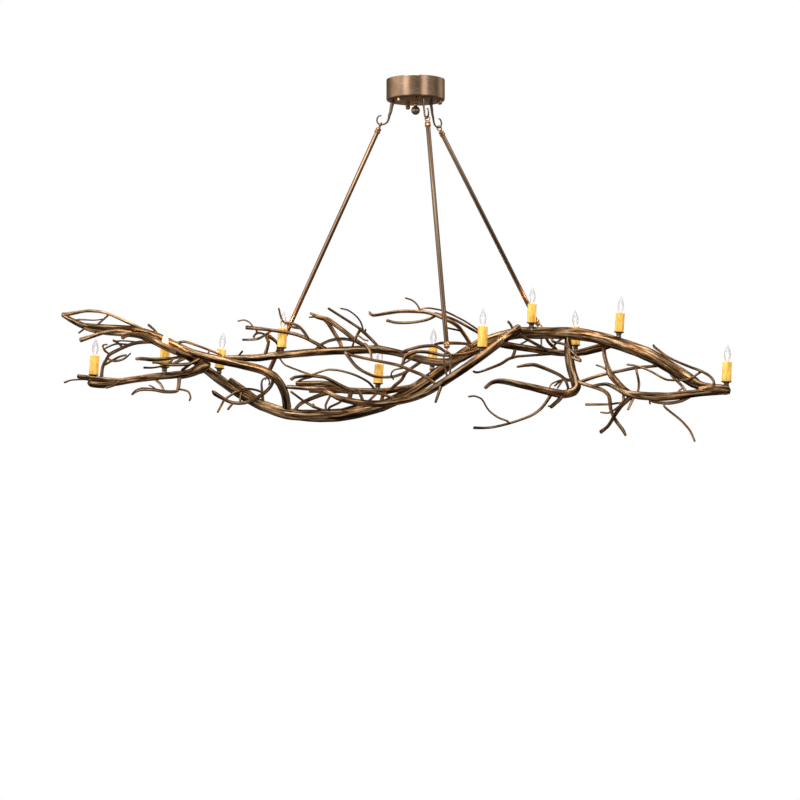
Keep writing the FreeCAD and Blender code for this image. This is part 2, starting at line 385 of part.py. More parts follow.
        "604.5 429.5 3.4, 600 432.6 3.6 @-60",
        "623.5 392 2.6 @-108, 623.4 402.5 2.4 @-126",
        "585.3 404.5 2.4 @0, 592 404.8 2, 600 404.6 2, 608 404.3 2 @-26, 615 403.5 2, 622 402.8 1.8 @-116",
        "600.3 412.3 1.5 @-20, 604 413 1.6, 609 412.7 1.5 @-36, 613 410.8 1.5, 617 407.5 1.6,"
        "621 404.5 1.6 @-112",
    ),
}

# Candle lights: cup column and row, cover's top column and row, row of the limb's centre line
# below, and depth in depth steps.
LIGHTS = (
    (93.6, 374.6, 94.8, 355.5, 383.3, 60),
    (164.5, 366.8, 165.0, 347.6, 375.9, 0),
    (219.4, 368.0, 221.7, 348.2, 379.5, 82),
    (281.6, 347.4, 282.8, 327.5, 355.2, 20),
    (378.0, 383.2, 379.3, 363.7, 391.2, 50),
    (432.4, 363.5, 433.2, 343.8, 377.5, 170),
    (482.3, 347.0, 482.8, 325.2, 355.2, -450),
    (531.6, 322.7, 532.2, 303.0, 332.8, 205),
    (575.6, 345.0, 575.4, 325.5, 353.2, 300),
    (619.0, 332.0, 620.4, 312.2, 343.7, 100),
    (726.5, 381.5, 727.3, 360.7, 390.2, -120),
)

# Hooks: bearing round the canopy in degrees, pivot at the lower end of the rod (column and row),
# and the direction of the hanger's wire there, as shares along X and Y.
HOOKS = {
    "left": (168, (266, 378), (1, 0)),
    "middle": (288, (447.3, 352), (1, 0)),
    "right": (48, (540, 328), (0, 1)),
}
NUT_BEARINGS = (108, 228, 348)

# A hook's side outline, outward and down from its root, as shares of its reach and drop, with
# its thickness and its width in the hook's plane as shares from strap to wire.
HOOK_SHARES = (
    (0, 0.04, 0.62, 1.3), (0.1, 0.22, 0.6, 1.2), (0.17, 0.43, 0.58, 1.05), (0.28, 0.61, 0.56, 0.9),
    (0.34, 0.76, 0.56, 0.74), (0.48, 0.91, 0.55, 0.6), (0.75, 0.99, 0.55, 0.55), (1, 1, 0.55, 0.55),
    (1.2, 0.945, 0.55, 0.55), (1.31, 0.815, 0.52, 0.52), (1.25, 0.68, 0.5, 0.5), (1.1, 0.6, 0.46, 0.46),
    (0.92, 0.6, 0.4, 0.4),
)

# Each hanger's side outline from its foot on the limb, along the wire's direction and up, in
# steps of the hanger wire's radius, with the pivot at zero. The last value thickens the wire.
HANGER_STEPS = {
    "left": ((-4, -33, 2), (-4, -26, 2), (-4.6, -18, 1.7), (-5.4, -10, 1.5), (-5, -4.2, 1.2),
             (-2.8, -0.8, 1), (0, 0, 1), (2.4, -0.9, 1), (4, -3.6, 1), (4, -6.6, 1), (2.6, -8.4, 0.9)),
    "middle": ((-0.6, -28.4, 1.2), (-1, -25, 1.2), (-2.9, -17, 1.2), (-4, -9, 1.1), (-3.7, -4, 1),
               (-2.2, -0.8, 1), (0, 0, 1), (2.2, -0.8, 1), (3.7, -4, 1), (4.2, -9, 1), (3.8, -17, 1.1),
               (3, -25, 1.2), (2.6, -28.4, 1.2)),
    "right": ((-13.8, -6, 2), (-9.6, -8.4, 2), (-6.2, -7.2, 1.6), (-4.3, -3.6, 1.2), (-2.4, -0.9, 1),
              (0, 0, 1), (2.4, -0.9, 1), (4, -3.6, 1), (4, -6.6, 1), (2.6, -8.4, 0.9)),
}

# Turned profiles from the foot up, as shares of the piece's height and of its radius.
STEM_SHARES = ((0, 1), (0.5, 0.7), (1, 0.95))
CUP_SHARES = ((0, 0.55), (0.5, 1), (1, 1))
GLASS_SHARES = ((0, 0.44), (0.22, 0.89), (0.42, 1), (0.62, 0.72), (0.84, 0.27), (1, 0.05))
COLLAR_SHARES = ((0, 0.7), (0.12, 1), (0.4, 1), (0.5, 0.82), (0.6, 1), (1, 0.95))
NUT_SHARES = ((0, 1), (0.28, 1), (0.34, 0.82), (0.62, 0.78), (0.86, 0.5), (1, 0.15))
PLAIN_SHARES = ((0, 1), (1, 1))
BALL_SHARES = ((0, 0.3), (0.08, 0.64), (0.22, 0.89), (0.5, 1.02), (0.78, 0.89), (0.92, 0.64), (1, 0.3))

doc = FreeCAD.newDocument("branch_chandelier")
sheet = doc.addObject("Spreadsheet::Sheet", "sizes")
for line, (alias, value) in enumerate(SIZES.items(), 1):
    sheet.set(f"A{line}", alias)
    sheet.set(f"B{line}", str(value))
    sheet.setAlias(f"B{line}", alias)
doc.recompute()
nodes = {}


def size(alias):
    """A driving dimension, read from the sheet."""
    return float(getattr(sheet, alias))


def vector(x, y, z):
    return FreeCAD.Vector(x, y, z)


def spot(column, row, depth):
    """The place whose picture falls on a column and row, that far behind the canopy's axis."""
    reach = size("view_distance") + depth
    pitch = size("pixel_pitch") * reach / size("view_distance")
    eye_x = (VIEW_CENTRE_COLUMN - CANOPY_COLUMN) * size("pixel_pitch")
    eye_z = (CEILING_ROW - VIEW_CENTRE_ROW) * size("pixel_pitch")
    across, down = column - VIEW_CENTRE_COLUMN, row - VIEW_CENTRE_ROW
    return vector(eye_x + across * pitch, depth, eye_z - down * pitch)


def filled(values):
    """A list in which each missing value lies evenly between its neighbours."""
    known = [i for i, value in enumerate(values) if value is not None]
    full = []
    for i in range(len(values)):
        before = max([k for k in known if k <= i], default=known[0])
        after = min([k for k in known if k >= i], default=known[-1])
        share = (i - before) / (after - before) if after > before else 0
        full.append(values[before] + (values[after] - values[before]) * share)
    return full


def read_trace(trace):
    """Centre points and radii of one limb, from its chain of picture places."""
    columns, rows, diameters, depths = [], [], [], []
    for place in trace.split(","):
        words = place.split()
        depth = [float(word[1:]) for word in words if word.startswith("@")]
        numbers = [float(word) for word in words if not word.startswith("@")]
        columns.append(numbers[0])
        rows.append(numbers[1])
        diameters.append(numbers[2] if len(numbers) > 2 else None)
        depths.append(depth[0] * size("depth_step") if depth else None)
    depths = filled(depths)
    points = [spot(*place) for place in zip(columns, rows, depths)]
    pitch = size("pixel_pitch") / size("view_distance")
    radii = [d / 2 * pitch * (size("view_distance") + depth) for d, depth in zip(filled(diameters), depths)]
    return points, radii


def along(points, radii, step):
    """Closely spaced points, directions and radii on a smooth curve through a limb's places."""
    curve = Part.BSplineCurve()
    curve.interpolate(points)
    edge = curve.toShape()
    chords = [0]
    for a, b in zip(points, points[1:]):
        chords.append(chords[-1] + (b - a).Length)
    count = max(2, int(math.ceil(edge.Length / step)))
    spots = []
    for i in range(count + 1):
        share = i / count
        parameter = curve.parameterAtDistance(edge.Length * share, curve.FirstParameter)
        reach = chords[-1] * share
        k = max(j for j in range(len(chords) - 1) if chords[j] <= reach or j == 0)
        part = min(1, (reach - chords[k]) / (chords[k + 1] - chords[k]))
        radius = radii[k] + (radii[k + 1] - radii[k]) * part
        spots.append((curve.value(parameter), vector(*curve.tangent(parameter)[0]), radius, radius))
    return spots


def thinned(spots, error):
    """The fewest of those places whose straight runs stay within the error of the curve."""
    (start, _, wide, _), (end, _, last_wide, _) = spots[0], spots[-1]
    run = end - start
    worst, place = 0, None
    for i, (centre, _, radius, _) in enumerate(spots[1:-1], 1):
        share = (centre - start).dot(run) / run.dot(run)
        off = (centre - start - run * share).Length + abs(radius - wide - (last_wide - wide) * share)
        if off > worst:
            worst, place = off, i
    if worst <= error:
        return [spots[0], spots[-1]]
    return thinned(spots[:place + 1], error)[:-1] + thinned(spots[place:], error)


def polygon(centre, across, up, wide, thick, sides):
    """The corners of a many-sided ring."""
    corners = []
    for i in range(sides):
        turn = 2 * math.pi * (i + 0.5) / sides
        corners.append(centre + across * (wide * math.cos(turn)) + up * (thick * math.sin(turn)))
    return corners


def skinned(rings):
    """A solid whose ruled sides join each ring's corners to the same corners of the next."""
    faces = [Part.Face(Part.makePolygon(ring + ring[:1])) for ring in (rings[0], rings[-1])]
    for low, high in zip(rings, rings[1:]):
        for i in range(len(low)):
            edges = [Part.makeLine(ring[i - 1], ring[i]) for ring in (low, high)]
            faces.append(Part.makeRuledSurface(*edges))
    solid = Part.Solid(Part.Shell(faces))
    if solid.Volume < 0:
        solid.reverse()
    return solid


def lofted(spots, sides, across=None):
    """A solid along places that each hold a point, a direction and two half widths."""
    first = spots[0][1]
    helper = vector(0, 1, 0) if abs(first.y) < abs(first.x) + abs(first.z) else vector(1, 0, 0)
    across = across or first.cross(helper).normalize()
    rings = []
    for centre, direction, wide, thick in spots:
        across = (across - direction * across.dot(direction)).normalize()
        rings.append(polygon(centre, across, direction.cross(across), wide, thick, sides))
    return skinned(rings)


def with_ends(spots):
    """The same places with a short taper at both ends, as a forged tip has."""
    (start, out, wide, thick), (end, onward, last_wide, last_thick) = spots[0], spots[-1]
    inner = [(start + out * (wide * END_RUN_SHARE), out, wide, thick)]
    outer = [(end - onward * (last_wide * END_RUN_SHARE), onward, last_wide, last_thick)]
    head = [(start, out, wide * END_SHARE, thick * END_SHARE)]
    tail = [(end, onward, last_wide * END_SHARE, last_thick * END_SHARE)]
    return head + inner + spots[1:-1] + outer + tail


def limb(trace):
    """One forged limb or twig."""
    points, radii = read_trace(trace)
    sides = TWIG_SIDES
    if max(radii) > size("thick_limb_radius"):
        sides = LIMB_SIDES
    elif max(radii) < size("thin_twig_radius"):
        sides = THIN_SIDES
    spots = thinned(along(points, radii, size("sample_step")), size("curve_error"))
    return lofted(with_ends(spots) if sides == LIMB_SIDES else spots, sides)


def turned(height, radius, shares, sides=TURNED_SIDES):
    """A turned piece standing on the origin, from its profile's shares."""
    spots = [(vector(0, 0, height * up), vector(0, 0, 1), radius * out, radius * out) for up, out in shares]
    return lofted(spots, sides)


def feature(name, shape, placement=None):
    """A piece whose form only Part's own functions make."""
    piece = doc.addObject("Part::Feature", name)
    piece.Shape = shape
    if placement:
        piece.Placement = placement
    return piece


def primitive(kind, name, placement=None, **cells):
    """A Part primitive whose sizes follow the sheet."""
    piece = doc.addObject(f"Part::{kind}", name)
    for prop, formula in cells.items():
        piece.setExpression(prop, formula)
    if placement:
        piece.Placement = placement
    return piece


def cut(name, base, tool):
    piece = doc.addObject("Part::Cut", name)
    piece.Base = base
    piece.Tool = tool
    return piece


def fused(name, pieces):
    piece = doc.addObject("Part::MultiFuse", name)
    piece.Shapes = pieces
    return piece


def grouped(name, pieces):
    """Separate like pieces that share one node."""
    piece = doc.addObject("Part::Compound", name)
    piece.Links = pieces
    return piece


def keep(name, piece):
    """Marks a finished sub-part: its label names its file."""
    piece.Label = name
    nodes[name] = piece


def raised(z):
    return FreeCAD.Placement(vector(0, 0, z), FreeCAD.Rotation())


def on_circle(radius, bearing, z):
    turn = math.radians(bearing)
    return vector(radius * math.cos(turn), radius * math.sin(turn), z)


def drill(radius, height, bearing, pitch_radius, z):
    """A faceted plug that bores a clearance hole for a faceted shank."""
    return turned(height, radius, PLAIN_SHARES, SHANK_SIDES).translated(on_circle(pitch_radius, bearing, z))


def canopy():
    """Spun cup, the ceiling strap, the centre stud and the fasteners."""
    floor = -size("canopy_height")
    cup = primitive("Cylinder", "canopy_outside", raised(floor), Radius="sizes.canopy_radius",
                    Height="sizes.canopy_height")
    doc.recompute()
    edged = doc.addObject("Part::Chamfer", "canopy_edged")
    edged.Base = cup
    low = [i for i, edge in enumerate(cup.Shape.Edges, 1) if edge.BoundBox.ZMax < floor / 2]
    edged.Edges = [(i, size("canopy_edge"), size("canopy_edge")) for i in low]
    inside = primitive("Cylinder", "canopy_inside", raised(floor + size("canopy_wall")),
                       Radius="sizes.canopy_radius - sizes.canopy_wall", Height="sizes.canopy_height")
    doc.recompute()
    inset = doc.addObject("Part::Chamfer", "canopy_inset")
    inset.Base = inside
    low = [i for i, edge in enumerate(inside.Shape.Edges, 1) if edge.BoundBox.ZMax < floor / 2]
    inset.Edges = [(i, size("canopy_edge"), size("canopy_edge")) for i in low]
    below, through = floor - size("flange_thick"), 3 * size("flange_thick")
    bores = [drill(size("stud_radius") + size("fit_gap"), through, 0, 0, below)]
    nut_bore = size("nut_shank_radius") + size("fit_gap")
    hook_bore = size("hook_shank_radius") + size("fit_gap")
    for bearing in NUT_BEARINGS:
        bores.append(drill(nut_bore, through, bearing, size("nut_circle_radius"), below))
    for bearing, _, _ in HOOKS.values():
        bores.append(drill(hook_bore, through, bearing, size("hook_circle_radius"), below))
    drills = grouped("canopy_drills", [feature("bore", bore) for bore in bores])
    keep("canopy_pan", cut("canopy_drilled", cut("canopy_shell", edged, inset), drills))

    bar = primitive("Box", "strap_bar", Length="sizes.strap_length", Width="sizes.strap_width",
                    Height="sizes.strap_thick")
    bar.Placement.Base = vector(-size("strap_length") / 2, -size("strap_width") / 2, -size("strap_thick"))
    screw_holes = []
    for side in (-1, 1):
        place = FreeCAD.Placement(vector(side * size("screw_spacing") / 2, 0, -2 * size("strap_thick")),
                                  FreeCAD.Rotation())
        screw_holes.append(primitive("Cylinder", "screw_hole", place, Radius="sizes.screw_hole_radius",
                                     Height="3 * sizes.strap_thick"))
    keep("mounting_strap", cut("strap_drilled", bar, fused("strap_drills", screw_holes)))
    stud = turned(-size("strap_thick") - floor, size("stud_radius"), PLAIN_SHARES, SHANK_SIDES)
    keep("centre_stud", feature("stud", stud, raised(floor)))

    neck = turned(-size("neck_height"), size("neck_radius"), PLAIN_SHARES, BALL_SIDES)
    ball = turned(-2 * size("ball_radius"), size("ball_radius"), BALL_SHARES, BALL_SIDES)
    ball_top = -size("neck_height") + size("neck_sink")
    finial = neck.fuse(ball.translated(vector(0, 0, ball_top)))
    keep("ball_finial", feature("finial", finial, raised(floor)))

    nuts = []
    for bearing in NUT_BEARINGS:
        cap = turned(-size("nut_height"), size("nut_radius"), NUT_SHARES, SHANK_SIDES)
        shank = turned(size("flange_thick"), size("nut_shank_radius"), PLAIN_SHARES, SHANK_SIDES)
        place = FreeCAD.Placement(on_circle(size("nut_circle_radius"), bearing, floor), FreeCAD.Rotation())
        nuts.append(feature("cap_nut", cap.fuse(shank), place))
    keep("cap_nuts", grouped("nuts", nuts))


def smooth_spots(points, wides, thicks, step):
    """Places along a bent strap with their widths and thicknesses."""
    rounds = along(points, wides, step)
    flats = along(points, thicks, step)
    return [(p, d, wide, thick) for (p, d, wide, _), (_, _, _, thick) in zip(rounds, flats)]


def hook(name, bearing):
    """A flat strap that leaves the canopy and narrows into a round J."""
    floor = -size("canopy_height")
    wire = size("hook_wire_radius") / HOOK_SHARES[7][2]
    root_radius, reach, drop = size("hook_circle_radius"), size("hook_reach"), size("hook_drop")
    points = [on_circle(root_radius + reach * out, bearing, floor - drop * down)
              for out, down, _, _ in HOOK_SHARES]
    wides = [wire * wide for _, _, wide, _ in HOOK_SHARES]
    thicks = [wire * thick for _, _, _, thick in HOOK_SHARES]
    sideways = on_circle(1, bearing + 90, 0)
    spots = smooth_spots(points, wides, thicks, size("wire_step"))
    strap = lofted(thinned(spots, size("wire_error")), WIRE_SIDES, sideways)
    root = on_circle(root_radius, bearing, floor - size("flange_thick"))
    shank = turned(size("hook_shank_height"), size("hook_shank_radius"), PLAIN_SHARES, SHANK_SIDES)
    shank = shank.translated(root)
    flange = turned(size("flange_thick"), size("nut_radius"), PLAIN_SHARES, SHANK_SIDES).translated(root)
    keep(f"hook_{name}", feature(f"hook_{name}_body", strap.fuse([shank, flange])))


def hook_seat(bearing):
    """The middle of a hook's wire where the rod's loop hangs."""
    return on_circle(size("hook_circle_radius") + size("hook_reach"), bearing,
                     -size("canopy_height") - size("hook_drop"))


def pivot(name):
    """The rod's lower pivot: seen from the side, all three rods point at one line above the hooks."""
    bearing, (column, row), _ = HOOKS[name]
    seat = hook_seat(bearing)
    depth = 0
    for _ in range(8):
        place = spot(column, row, depth)
        depth = seat.y * (1 + (seat.z - place.z) / size("sway_height"))
    return spot(column, row, depth)


def ring(centre, axis, facing):
    """A round loop about a facing direction, its wire many-sided."""
    facing = (facing - axis * facing.dot(axis)).normalize()
    side = facing.cross(axis)
    halves = []
    for first in (0, RING_RUNS // 2):
        sections = []
        for i in range(first, first + RING_RUNS // 2 + 1):
            turn = 2 * math.pi * i / RING_RUNS
            out = side * math.cos(turn) + axis * math.sin(turn)
            wire = size("loop_wire_radius")
            sections.append(polygon(centre + out * size("loop_radius"), out, facing, wire, wire, WIRE_SIDES))
        halves.append(skinned(sections))
    return halves[0].fuse(halves[1]).removeSplitter()


def collar(start, axis):
    """Turned collar that screws the loop to the rod's end."""
    turn = FreeCAD.Rotation(vector(0, 0, 1), axis)
    piece = turned(size("collar_length"), size("collar_radius"), COLLAR_SHARES, SHANK_SIDES)
    piece.Placement = FreeCAD.Placement(start, turn)
    return piece


def rod(name):
    """A hanging tube with a loop at each end, from its hook to its hanger."""
    bearing, _, (wire_x, wire_y) = HOOKS[name]
    top, low = hook_seat(bearing), pivot(name)
    axis = (low - top).normalize()
    gaps = {"left": "loose_gap", "middle": "seat_gap", "right": "loose_gap"}
    ends = ((top, axis, on_circle(1, bearing, 0), size("hook_wire_radius") + size("seat_gap")),
            (low, -axis, vector(wire_x, wire_y, 0), size("hanger_wire_radius") + size(gaps[name])))
    loops, stops = [], []
    for seat, inward, facing, clear in ends:
        lean = math.sqrt(1 - inward.dot(facing) ** 2)
        centre = seat + inward * (size("loop_radius") - (clear + size("loop_wire_radius")) / lean)
        neck = centre + inward * size("loop_radius")
        loop = ring(centre, inward, facing).fuse(collar(neck, inward))
        loops.append(feature(f"{name}_loop", loop))
        stops.append(neck + inward * size("collar_length"))
    keep(f"rod_{name}_loops", grouped(f"{name}_loops", loops))
    turn = FreeCAD.Rotation(vector(0, 0, 1), axis)
    place = FreeCAD.Placement(stops[0], turn)
    bar = primitive("Cylinder", f"{name}_bar", place, Radius="sizes.rod_radius")
    bar.Height = (stops[1] - stops[0]).Length
    keep(f"rod_{name}", bar)


def hanger(name):
    """The forged crook or teardrop on the frame that a rod's lower loop carries."""
    _, _, (wire_x, wire_y) = HOOKS[name]
    facing = vector(wire_x, wire_y, 0)
    step = size("hanger_wire_radius")
    crown = pivot(name)
    points = [crown + facing * (out * step) + vector(0, 0, up * step) for out, up, _ in HANGER_STEPS[name]]
    radii = [thick * step for _, _, thick in HANGER_STEPS[name]]
    sideways = facing.cross(vector(0, 0, 1))
    spots = thinned(smooth_spots(points, radii, radii, size("wire_step")), size("wire_error"))
    keep(f"hanger_{name}", feature(f"hanger_{name}_body", lofted(with_ends(spots), WIRE_SIDES, sideways)))


def lights():
    """Cups, stems, covers, sockets and bulbs of the candle lights."""
    cups, stems, sockets, caps, glasses = [], [], [], [], []
    for number, (column, row, top_column, top_row, limb_row, depth) in enumerate(LIGHTS, 1):
        depth = depth * size("depth_step")
        seat = spot(column, row, depth)
        upright = (spot(top_column, top_row, depth) - seat).normalize()
        turn = FreeCAD.Rotation(vector(0, 0, 1), upright)
        place = FreeCAD.Placement(seat, turn)
        cups.append(feature("cup", turned(size("cup_height"), size("cup_radius"), CUP_SHARES),
                            FreeCAD.Placement(seat - upright * size("cup_height"), turn)))
        foot = seat.z - size("cup_height") - spot(column, limb_row, depth).z - size("stem_sink") / 2
        base = seat - upright * (size("cup_height") + foot)
        stem = turned(foot, size("stem_foot_radius"), STEM_SHARES, SHANK_SIDES)
        stems.append(feature("stem", stem, FreeCAD.Placement(base, turn)))
        wax = turned(size("cover_height"), size("cover_radius"), PLAIN_SHARES, TUBE_SIDES)
        bore_radius = size("cover_radius") - size("cover_wall")
        bore = turned(size("cover_height"), bore_radius, PLAIN_SHARES, TUBE_SIDES)
        keep(f"candle_cover_{number}", cut(f"cover_{number}", feature("cover_outside", wax, place),
                                           feature("cover_inside", bore, place)))
        socket = turned(size("socket_height"), size("socket_radius"), PLAIN_SHARES, SHANK_SIDES)
        sockets.append(feature("socket", socket, place))
        lift = size("socket_height")
        cap = turned(size("cap_height"), size("cap_radius"), PLAIN_SHARES, WIRE_SIDES)
        caps.append(feature("bulb_cap", cap, FreeCAD.Placement(seat + upright * lift, turn)))
        lift += size("cap_height")
        glass = turned(size("glass_height"), size("glass_radius"), GLASS_SHARES, GLASS_SIDES)
        glasses.append(feature("glass", glass, FreeCAD.Placement(seat + upright * lift, turn)))
    keep("light_cups", grouped("cups", cups))
    keep("light_stems", grouped("stems", stems))
    keep("light_sockets", grouped("sockets", sockets))
    keep("bulb_caps", grouped("caps", caps))
    keep("bulb_glasses", grouped("glasses", glasses))


def branches():
    """The forged limbs, and the twigs welded on them in groups."""
    for name, trace in LIMBS.items():
        keep(name, feature(f"{name}_body", limb(trace)))
    for name, traces in TWIGS.items():
        keep(name, grouped(f"{name}_group", [feature(f"{name}_piece", limb(trace)) for trace in traces]))


canopy()
for hook_name, (hook_bearing, _, _) in HOOKS.items():
    hook(hook_name, hook_bearing)
    rod(hook_name)
    hanger(hook_name)
branches()
lights()
doc.recompute()

for checked in doc.Objects:
    if {"Invalid", "Error"} & set(checked.State):
        raise SystemExit(f"{checked.Label} failed")
os.makedirs("parts", exist_ok=True)
for label, kept in nodes.items():
    if kept.Shape.isNull() or not kept.Shape.isValid():
        raise SystemExit(f"{label} has no sound shape")
for label, kept in nodes.items():
    kept.Shape.exportStep(f"parts/{label}.step")
for pivot_name in HOOKS:
    place_of_pivot = pivot(pivot_name)
    place_of_hook = hook_seat(HOOKS[pivot_name][0])
    print(pivot_name, [round(v, 3) for v in place_of_pivot], [round(v, 3) for v in place_of_hook])
print(len(nodes), "nodes")
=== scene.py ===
# %% [markdown]
# # A branch chandelier
# The object is a hanging lamp whose body looks like wind-bent branches. The branches are forged
# iron with a brushed bronze finish, and eleven candle lights stand on them. The frame that was
# packed from the CAD model gives every size and place. This file dresses it with smooth forms,
# bark and finishes. All lengths are in metres.

# %% Load the frame
import json
import math
from collections import Counter
import bmesh
import bpy
import numpy as np
from mathutils import Matrix, Vector, noise


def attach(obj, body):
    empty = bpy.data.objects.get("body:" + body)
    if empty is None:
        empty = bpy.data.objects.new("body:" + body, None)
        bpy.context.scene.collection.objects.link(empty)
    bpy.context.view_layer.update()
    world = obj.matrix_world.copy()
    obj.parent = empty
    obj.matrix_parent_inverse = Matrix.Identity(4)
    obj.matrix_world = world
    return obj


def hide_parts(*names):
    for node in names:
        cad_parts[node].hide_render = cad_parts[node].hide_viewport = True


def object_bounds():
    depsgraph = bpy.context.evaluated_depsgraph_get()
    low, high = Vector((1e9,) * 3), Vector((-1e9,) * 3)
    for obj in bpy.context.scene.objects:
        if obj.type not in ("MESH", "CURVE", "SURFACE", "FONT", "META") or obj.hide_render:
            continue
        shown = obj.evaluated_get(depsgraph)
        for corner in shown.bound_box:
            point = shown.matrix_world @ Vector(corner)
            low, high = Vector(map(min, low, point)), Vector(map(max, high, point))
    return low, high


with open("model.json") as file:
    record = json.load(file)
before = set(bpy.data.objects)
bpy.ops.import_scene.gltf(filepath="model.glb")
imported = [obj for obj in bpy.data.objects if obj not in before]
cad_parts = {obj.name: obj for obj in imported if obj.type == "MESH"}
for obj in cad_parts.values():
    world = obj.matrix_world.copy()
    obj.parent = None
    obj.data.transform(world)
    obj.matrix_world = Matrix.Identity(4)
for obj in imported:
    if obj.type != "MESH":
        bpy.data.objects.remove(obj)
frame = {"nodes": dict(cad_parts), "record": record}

cad_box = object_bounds()
scene = bpy.context.scene
print("CAD box", cad_box)

# %% [markdown]
# ## Helpers
# An operator acts on all that is selected, so a small helper clears the selection first and
# then picks one object, or a few that are joined next.

# %% Pick objects for an operator
def pick(*objs):
    """Selects only these objects and makes the first one active."""
    if bpy.context.object and bpy.context.object.mode != "OBJECT":
        bpy.ops.object.mode_set(mode="OBJECT")
    bpy.ops.object.select_all(action="DESELECT")
    for obj in objs:
        obj.select_set(True)
    bpy.context.view_layer.objects.active = objs[0]


print("CAD nodes:", len(frame["nodes"]))

# %% [markdown]
# The chandelier has five bodies: the canopy, three rods and the frame of branches. A finished
# piece gets its name and finish and is handed to the body that carries it, and the CAD nodes it
# stands for are hidden. A swelling could carry a corner a hair past the box of the CAD model, so
# every corner is held inside that box.

# %% Hand a finished piece over
def settle(obj, name, body, slot, finish, *nodes):
    """Names a finished piece, gives it its finish and lets it stand for its CAD nodes."""
    obj.name = obj.data.name = name
    obj.data.materials.clear()
    obj.data.materials.append(finish)
    low, high = cad_box
    for vert in obj.data.vertices:
        vert.co = [min(max(value, least), most) for value, least, most in zip(vert.co, low, high)]
    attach(obj, body)
    if nodes:
        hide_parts(*nodes)


def body_of(node):
    """The body that carries a CAD node."""
    for body, members in frame["record"]["behaviour"]["bodies"].items():
        if node in members:
            return body


# %% [markdown]
# ## Finishes
# Every finish is a node tree. The first helper makes the material and its shader. At a grazing
# angle a metal shader turns white, but browned bronze stays warm and dark there, so the metals
# have a warm edge tint.

# %% A start for every finish
WARM_EDGE = (0.62, 0.46, 0.34, 1)


def new_finish(name, color, metallic, roughness):
    """A new material with its node tree and its shader."""
    finish = bpy.data.materials.new(name)
    finish.use_nodes = True
    shader = finish.node_tree.nodes["Principled BSDF"]
    shader.inputs["Base Color"].default_value = (*color, 1)
    shader.inputs["Metallic"].default_value = metallic
    shader.inputs["Roughness"].default_value = roughness
    if metallic:
        shader.inputs["Specular Tint"].default_value = WARM_EDGE
    return finish, finish.node_tree, shader


print("edge tint", WARM_EDGE)

# %% [markdown]
# Small helpers add one node each and link what feeds it, which keeps a finish short to read. A
# socket is named by its label, or by its number where two sockets share a label.

# %% Nodes in one line
def add(tree, kind, settings=None, **links):
    """Adds a node. A value that is a socket is linked, any other is set."""
    node = tree.nodes.new(kind)
    for key, value in (settings or {}).items():
        setattr(node, key, value)
    for key, value in links.items():
        socket = node.inputs[int(key[2:]) if key.startswith("in") else key.replace("_", " ")]
        if isinstance(value, bpy.types.NodeSocket):
            tree.links.new(value, socket)
        else:
            socket.default_value = value
    return node


def maths(tree, operation, *values):
    """The result of a Math node, whose values are numbers or sockets."""
    links = {f"in{number}": value for number, value in enumerate(values)}
    return add(tree, "ShaderNodeMath", {"operation": operation}, **links).outputs["Value"]


def remap(tree, value, start, end, low=0.0, high=1.0):
    """Spreads the stretch of a value from start to end over low to high."""
    node = add(tree, "ShaderNodeMapRange", Value=value, From_Min=start, From_Max=end, To_Min=low, To_Max=high)
    return node.outputs["Result"]


def blend(tree, share, first, second, blend_type="MIX"):
    """A mix of two colours."""
    settings = {"data_type": "RGBA", "blend_type": blend_type}
    return add(tree, "ShaderNodeMix", settings, in0=share, in6=first, in7=second).outputs[2]


def ramp(tree, factor, *stops):
    """A colour ramp from (place, colour) stops."""
    node = add(tree, "ShaderNodeValToRGB", Fac=factor)
    bands = node.color_ramp.elements
    while len(bands) < len(stops):
        bands.new(0.5)
    for band, (place, color) in zip(bands, stops):
        band.position = place
        band.color = (*color, 1)
    return node.outputs["Color"]


def streaks(tree, place, scale, detail, roughness, distortion=0.0):
    """Noise whose scale is given for each axis, so that it can be drawn out along one."""
    drawn = add(tree, "ShaderNodeMapping", Vector=place, Scale=scale).outputs["Vector"]
    return add(tree, "ShaderNodeTexNoise", Vector=drawn, Scale=1, Detail=detail, Roughness=roughness,
               Distortion=distortion).outputs["Fac"]


def emboss(tree, shader, height, strength, distance):
    """A bump on the shader from a height."""
    bump = add(tree, "ShaderNodeBump", Height=height, Strength=strength, Distance=distance)
    tree.links.new(bump.outputs["Normal"], shader.inputs["Normal"])


print("node helpers ready")

# %% [markdown]
# The branches have the look of driftwood cast in bronze: long furrows, dark in the grooves and
# rubbed to a warm brown on the ridges. Broad patches darken the bronze in places, as wear, and
# brighten it to copper in others, as a painted highlight of warm light. The furrows must follow
# each branch, so the pattern reads an attribute called grain. Its first number is the length
# along the branch and the other two are the place across it. The rods have the same finish with
# far longer and flatter lines, as a drawn bar does.

# %% Bark bronze
def bark_finish(name, groove, body, ridge, fine, depth=0.004, along=1.0):
    """Furrowed bronze. A larger fine makes narrow furrows, and a smaller along longer ones."""
    finish, tree, shader = new_finish(name, body, 0.8, 0.4)
    grain = add(tree, "ShaderNodeAttribute", {"attribute_name": "grain"}).outputs["Vector"]
    furrows = streaks(tree, grain, (6 * along, fine, fine), 4, 0.6, 0.5)
    wear_and_sheen_patches = streaks(tree, grain, (7 * along, 30, 30), 3, 0.55)
    threads = streaks(tree, grain, (14 * along, 2.2 * fine, 2.2 * fine), 2, 0.5)
    relief = maths(tree, "MULTIPLY_ADD", threads, 0.6, furrows)
    tone = ramp(tree, relief, (0.68, groove), (0.79, body), (0.93, ridge))
    # Dark patches are wear. The warm, bright copper patches are a painted highlight of warm light.
    wear_and_warm_sheen = ramp(tree, wear_and_sheen_patches, (0.38, (0.62, 0.62, 0.62)), (0.5, (1.0, 1.0, 1.0)), (0.66, (1.5, 1.2, 0.98)))
    tree.links.new(blend(tree, 1.0, tone, wear_and_warm_sheen, "MULTIPLY"), shader.inputs["Base Color"])
    tree.links.new(remap(tree, furrows, 0.3, 0.7, 0.5, 0.28), shader.inputs["Roughness"])
    emboss(tree, shader, relief, 0.9, depth)
    return finish


